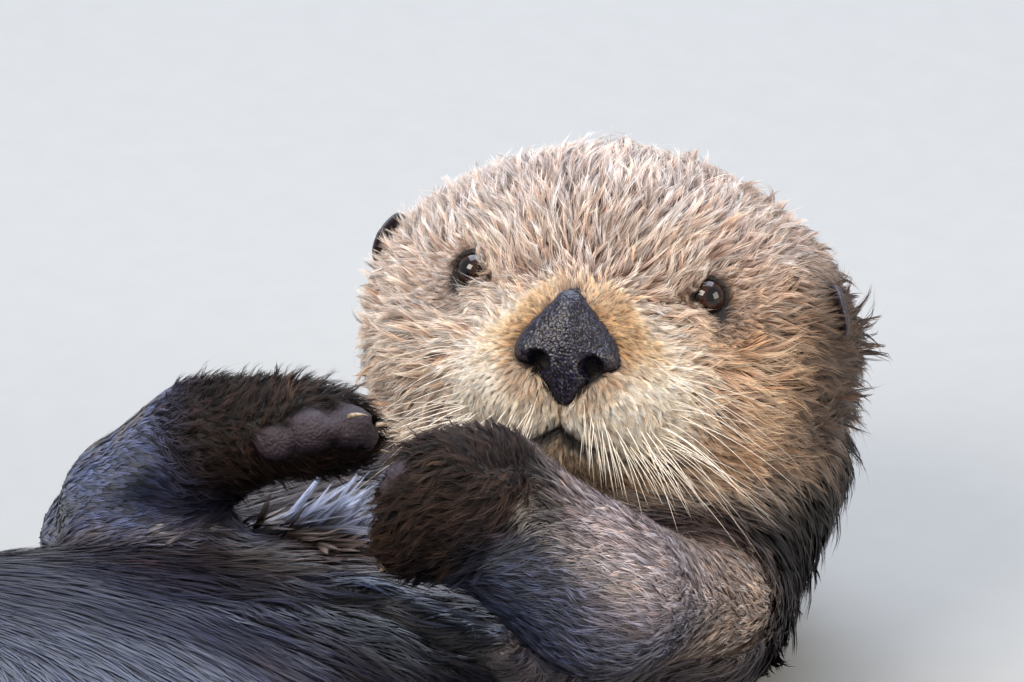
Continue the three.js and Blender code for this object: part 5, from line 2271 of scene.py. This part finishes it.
@dataclass
class Whiskers:
    """Stiff tapered whiskers in rows on the pads, longer ones among them, and a few over the eyes;
    millimetres.
    """

    skin: Skin
    rows: int = 5
    each: int = 11
    long: int = 26
    thick: float = 0.25
    sides: int = 5
    steps: int = 9

    def starts(self, rng: np.random.Generator) -> list[tuple[np.ndarray, np.ndarray, float, float]]:
        """Where each whisker starts, which way it points, its length and its share of the thickness.

        Args:
            rng: the source of the random draws.

        Returns:
            One row for each whisker.
        """
        found = []
        for sign in SIDES.values():
            for row in range(self.rows):
                for n in range(self.each):
                    share = np.clip((n + rng.normal(0, 0.25)) / (self.each - 1), 0, 1)
                    across = 8 + 25 * share
                    up = MOUTH.line(np.array(across)) + 2.5 + 3.4 * row + rng.normal(0, 0.8)
                    start = np.array((across * sign, up, 84 - 13 * share))
                    way = np.array((sign * (0.14 + 0.9 * share), -0.95 + 0.62 * share, 0.42 - 0.3 * share))
                    length = 6 + 16 * share + 2.2 * row + 7 * rng.random()
                    found.append((start, unit(way + rng.normal(0, 0.13, 3)), length, 0.6 + 0.45 * share))
            for n in range(self.long):
                start = np.array((sign * rng.uniform(20, 38), rng.uniform(-34, -6), 68.0))
                way = unit(np.array((sign * 0.95, 0.1 - 0.6 * rng.random(), 0.2)) + rng.normal(0, 0.08, 3))
                found.append((start, way, rng.uniform(26, 56), 0.5))
            for n in range(3):
                start = np.array((sign * (33 + 4 * n), 31.0 + n, 50.0))
                way = unit(np.array((sign * 0.25, 0.75, 0.5)) + rng.normal(0, 0.1, 3))
                found.append((start, way, 13 + 3 * n, 0.6))
        return found

    def line(self, start: np.ndarray, way: np.ndarray, length: float, bend: float) -> np.ndarray:
        """The middle line of one whisker, from inside the skin to its tip, drooping as it goes.

        Args:
            start: where it leaves the skin.
            way: its direction.
            length: its length.
            bend: how far it droops.

        Returns:
            Points from its root to its tip.
        """
        shares = np.linspace(0, 1, self.steps + 1)[:, None]
        fall = np.array((0, -1.0, -0.35)) * bend
        return start - unit(way) + way * length * shares + fall * length * shares**2

    def tube(self, line: np.ndarray, thick: float) -> tuple[np.ndarray, list[tuple[int, int, int]]]:
        """Places and triangles of one tapered tube closed at both ends.

        Args:
            line: its middle line.
            thick: its radius at the root.

        Returns:
            The places, and the corner numbers of the triangles.
        """
        around = np.linspace(0, 2 * math.pi, self.sides, endpoint=False)
        shares = np.linspace(0, 1, self.steps + 1)
        ahead = unit(np.gradient(line, axis=0))
        first = unit(np.cross(ahead, (0.3, 0.2, 1)))
        second = np.cross(ahead, first)
        radius = thick * (1 - shares**1.6 * 0.93)
        turn = around[None, :, None]
        ring = first[:, None] * np.cos(turn) + second[:, None] * np.sin(turn)
        places = (line[:, None] + ring * radius[:, None, None]).reshape(-1, 3)
        triangles = []
        last, tip = self.steps * self.sides, (self.steps + 1) * self.sides
        for n in range(self.sides):
            after = (n + 1) % self.sides
            for start in range(0, last, self.sides):
                triangles.append((start + n, start + after, start + n + self.sides))
                triangles.append((start + after, start + after + self.sides, start + n + self.sides))
            triangles.append((last + n, last + after, tip))
            triangles.append((after, n, tip + 1))
        return np.concatenate([places, line[-1:], line[:1]]), triangles

    def build(self, material: bpy.types.Material) -> None:
        """Makes all the whiskers as one mesh of tapered tubes.

        Args:
            material: the finish.
        """
        rng = np.random.default_rng(7)
        tree = self.skin.surface.tree()
        places, triangles, base = [], [], 0
        for start, way, length, share in self.starts(rng):
            near = np.array(tree.find_nearest(SKULL.outside(start[None])[0])[0])
            line = self.line(SKULL.inside(near[None])[0], way, length, rng.uniform(0.12, 0.42))
            tube, faces = self.tube(line, self.thick * share * rng.uniform(0.75, 1.15))
            places.append(tube)
            triangles += [tuple(base + corner for corner in face) for face in faces]
            base += len(tube)
        world = SKULL.outside(np.concatenate(places))
        piece = shown("whiskers", raw_mesh("whiskers", world, np.array(triangles)), material)
        finished(piece, "face_fur")


# ---------------------------------------------------------------- studio


@dataclass
class Studio:
    """A pale floor, soft panels of light and the camera."""

    azimuth: float = 36.0
    elevation: float = 25.0
    lens: float = 250.0
    distance: float = 2.5
    aside: float = -19.9
    above: float = 2.4

    def frame_axes(self) -> tuple[Vector, Vector, Vector]:
        """The camera's right, up and backward directions.

        Returns:
            Three unit vectors.
        """
        a, e = math.radians(self.azimuth), math.radians(self.elevation)
        back = Vector((math.sin(a) * math.cos(e), -math.cos(a) * math.cos(e), math.sin(e)))
        right = Vector((math.cos(a), math.sin(a), 0))
        return right, back.cross(right), back

    def camera(self) -> None:
        """Aims the camera at the nose, a little to its right."""
        right, up, back = self.frame_axes()
        aim = Vector(centre("nose")) + right * self.aside * MM + up * self.above * MM
        data = bpy.data.cameras.new("camera")
        data.lens, data.sensor_width = self.lens, 36.0
        data.clip_start, data.clip_end = 0.1, 50.0
        camera = bpy.data.objects.new("camera", data)
        camera.rotation_mode = "QUATERNION"
        camera.location = aim + back * self.distance
        camera.rotation_quaternion = Matrix((right, up, back)).transposed().to_quaternion()
        bpy.context.scene.collection.objects.link(camera)
        bpy.context.scene.camera = camera

    def panel(self, name: str, at: Vector, aim: Vector, size: float, power: float, colour: str) -> None:
        """Adds a square light panel that faces a place.

        Args:
            name: the light's name.
            at: where it hangs.
            aim: what it faces.
            size: its edge in metres.
            power: its power in watts.
            colour: its hex colour.
        """
        data = bpy.data.lights.new(name, "AREA")
        data.shape, data.size, data.energy = "SQUARE", size, power
        data.color = srgb(colour)
        light = bpy.data.objects.new(name, data)
        light.location = at
        light.rotation_mode = "QUATERNION"
        light.rotation_quaternion = (aim - at).to_track_quat("-Z", "Y")
        bpy.context.scene.collection.objects.link(light)

    def build(self) -> None:
        """Lays the floor and hangs the lights."""
        shape = bmesh.new()
        bmesh.ops.create_grid(shape, x_segments=1, y_segments=1, size=8)
        floor = smooth_piece("floor", shape, self.floor_finish())
        right, _, back = self.frame_axes()
        head = Vector(centre("head"))
        flat = Vector((back.x, back.y, 0)).normalized()
        self.panel("sky", head + Vector((0, 0, 1.5)) - flat * 0.9, head, 1.8, 50, "#DDE9FF")
        self.panel("key", head - right * 1.1 + flat * 1.0 + Vector((0, 0, 1.3)), head, 1.0, 38, "#FFF3E6")
        self.panel("fill", head + right * 1.5 + flat * 0.9 + Vector((0, 0, 0.6)), head, 1.2, 24, "#FFEEDA")
        world = bpy.data.worlds.new("studio")
        world.use_nodes = True
        background = world.node_tree.nodes["Background"]
        background.inputs["Color"].default_value = (*srgb("#E8ECF0"), 1)
        background.inputs["Strength"].default_value = 0.62
        bpy.context.scene.world = world
        bpy.context.scene.view_settings.view_transform = "Standard"

    def floor_finish(self) -> bpy.types.Material:
        """Pale painted board: matt, with a faint mottle of the roller.

        Returns:
            The new material.
        """
        material, tree, shader = surface_of("painted_board")
        place = node(tree, "TexCoord")["Object"]
        mottle = node(tree, "TexNoise", {"Vector": place, "Scale": 60.0})["Fac"]
        stops = ((0.0, "#A2A29F"), (1.0, "#A7A7A4"))
        colour = node(tree, "ValToRGB", {"Fac": mottle}, stops)["Color"]
        wire(tree, shader, {"Base Color": colour, "Roughness": 0.8})
        return material


# ---------------------------------------------------------------- assembly


def cuts_of(skin: Skin) -> tuple[list[Cut], np.ndarray]:
    """The stretches of the coat, and which stretch each triangle of the skin belongs to.

    Args:
        skin: the otter's skin.

    Returns:
        The stretches, and one number for each triangle.
    """
    corners = skin.surface.places[skin.surface.triangles].mean(1)
    local = SKULL.inside(corners)
    owner = skin.shares[skin.surface.triangles].mean(1).argmax(1)
    name = np.array(FLESH)[owner]
    muzzle = dict(clump=0.45, frizz=0.35, lift=0.95, stray=0.03, steps=2, veer=0.25)
    face = dict(clump=0.9, frizz=0.45, stray=0.1, guard=0.15, veer=0.32, contrast=1.15)
    neck = dict(clump=0.85, frizz=0.8, lift=0.9, stray=0.05)
    wet = dict(clump=0.85, frizz=0.6, stray=0.0, guard=0.04, roll=0.3)
    slick = dict(clump=0.7, frizz=0.3, stray=0.0, guard=0.0, roll=0.15, veer=0.08)
    arm = dict(clump=0.8, frizz=0.45, lift=0.9, stray=0.03, roll=0.5, contrast=1.5)
    velvet = dict(clump=0.7, stray=0.1, veer=0.4, contrast=1.5, finish="paw_fur")
    cuts = [
        Cut("coat_muzzle", "face_fur", Chart.HEAD, 62000, 0.3, 2.2, **muzzle),
        Cut("coat_face_left", "face_fur", Chart.HEAD, 39900, 0.29, 3.2, **face),
        Cut("coat_face_right", "face_fur", Chart.HEAD, 39900, 0.29, 3.2, **face),
        Cut("coat_crown", "face_fur", Chart.HEAD, 30000, 0.4, 5.5, **face),
        Cut("coat_neck", "neck_fur", Chart.TRUNK, 18000, 0.8, 13.0, **neck),
        Cut("coat_chest", "body_fur", Chart.TRUNK, 24000, 0.7, 12.0, lift=0.9, **wet),
        Cut("coat_belly", "body_fur", Chart.TRUNK, 22000, 0.7, 10.0, lift=0.7, contrast=0.4, **slick),
        Cut("coat_arm_left", "limb_fur", Chart.ARM_LEFT, 26000, 0.36, 4.6, **arm),
        Cut("coat_arm_right", "limb_fur", Chart.ARM_RIGHT, 15000, 0.5, 7.0, lift=0.8, **slick),
        Cut("coat_hips_and_tail", "body_fur", Chart.TRUNK, 13000, 1.4, 26.0, lift=0.8, **wet),
        Cut("coat_paw_left", "limb_fur", Chart.ARM_LEFT, 16000, 0.34, 3.5, **velvet),
        Cut("coat_paw_right", "limb_fur", Chart.ARM_RIGHT, 13500, 0.34, 3.5, **velvet),
    ]
    number = {cut.name: n for n, cut in enumerate(cuts)}
    member = np.full(len(corners), number["coat_hips_and_tail"])
    for trunk in ("neck", "chest", "belly"):
        member[name == trunk] = number[f"coat_{trunk}"]
    for side in SIDES:
        member[np.isin(name, [f"upper_arm_{side}", f"forearm_{side}"])] = number[f"coat_arm_{side}"]
        member[name == f"forepaw_{side}"] = number[f"coat_paw_{side}"]
    head = name == "head"
    member[head & (local[:, 0] >= 0)] = number["coat_face_left"]
    member[head & (local[:, 0] < 0)] = number["coat_face_right"]
    member[head & (local[:, 2] < -12)] = number["coat_crown"]
    member[head & (apart(local, (0, -12, 70), (37, 31, 30)) < 1)] = number["coat_muzzle"]
    return cuts, member


def main() -> None:
    """Builds the otter piece by piece and sets up the studio."""
    Studio().camera()
    Studio().build()
    skin = Skin()
    skin.build()
    Markings(skin).build()
    skin.dress(HideFinish("wet_underwool", 2.2, 0.5, 0.8).material())
    leather = LeatherFinish("wet_nose_leather", "#0F0D17", "#42415C", 0.95, 0.3, 0.9)
    Nose().build(leather.material())
    Ears().build(LeatherFinish("ear_leather", "#2A2229", "#4A4250", 1.6, 0.5, 0.3).material())
    Eyes().build(EyeFinish().material())
    Claws().build(HornFinish("claw_horn", "#A8977E", "#5C4C3E", 0.35).material())
    Whiskers(skin).build(HornFinish("whisker_keratin", "#FFFAF0", "#F0E4CC", 0.3).material())
    finishes = {
        "face_fur": HairFinish("damp_guard_hair", 0.5, 0.4).material(),
        "neck_fur": HairFinish("wet_neck_hair", 0.45, 0.3, 3.0).material(),
        "body_fur": HairFinish("soaked_body_hair", 0.36, 0.45, 3.5).material(),
        "limb_fur": HairFinish("wet_limb_hair", 0.3, 0.6, 2.6).material(),
        "paw_fur": HairFinish("damp_paw_hair", 0.65, 0.14, 2.6).material(),
    }
    cuts, members = cuts_of(skin)
    Coat(skin).build(cuts, members, finishes)
    LooseLocks(skin, groups=LOCKS).build(Chart.TRUNK, finishes["body_fur"])


if __name__ == "__main__":
    logging.basicConfig(level=logging.INFO, format="%(relativeCreated)d %(name)s %(message)s")
    main()
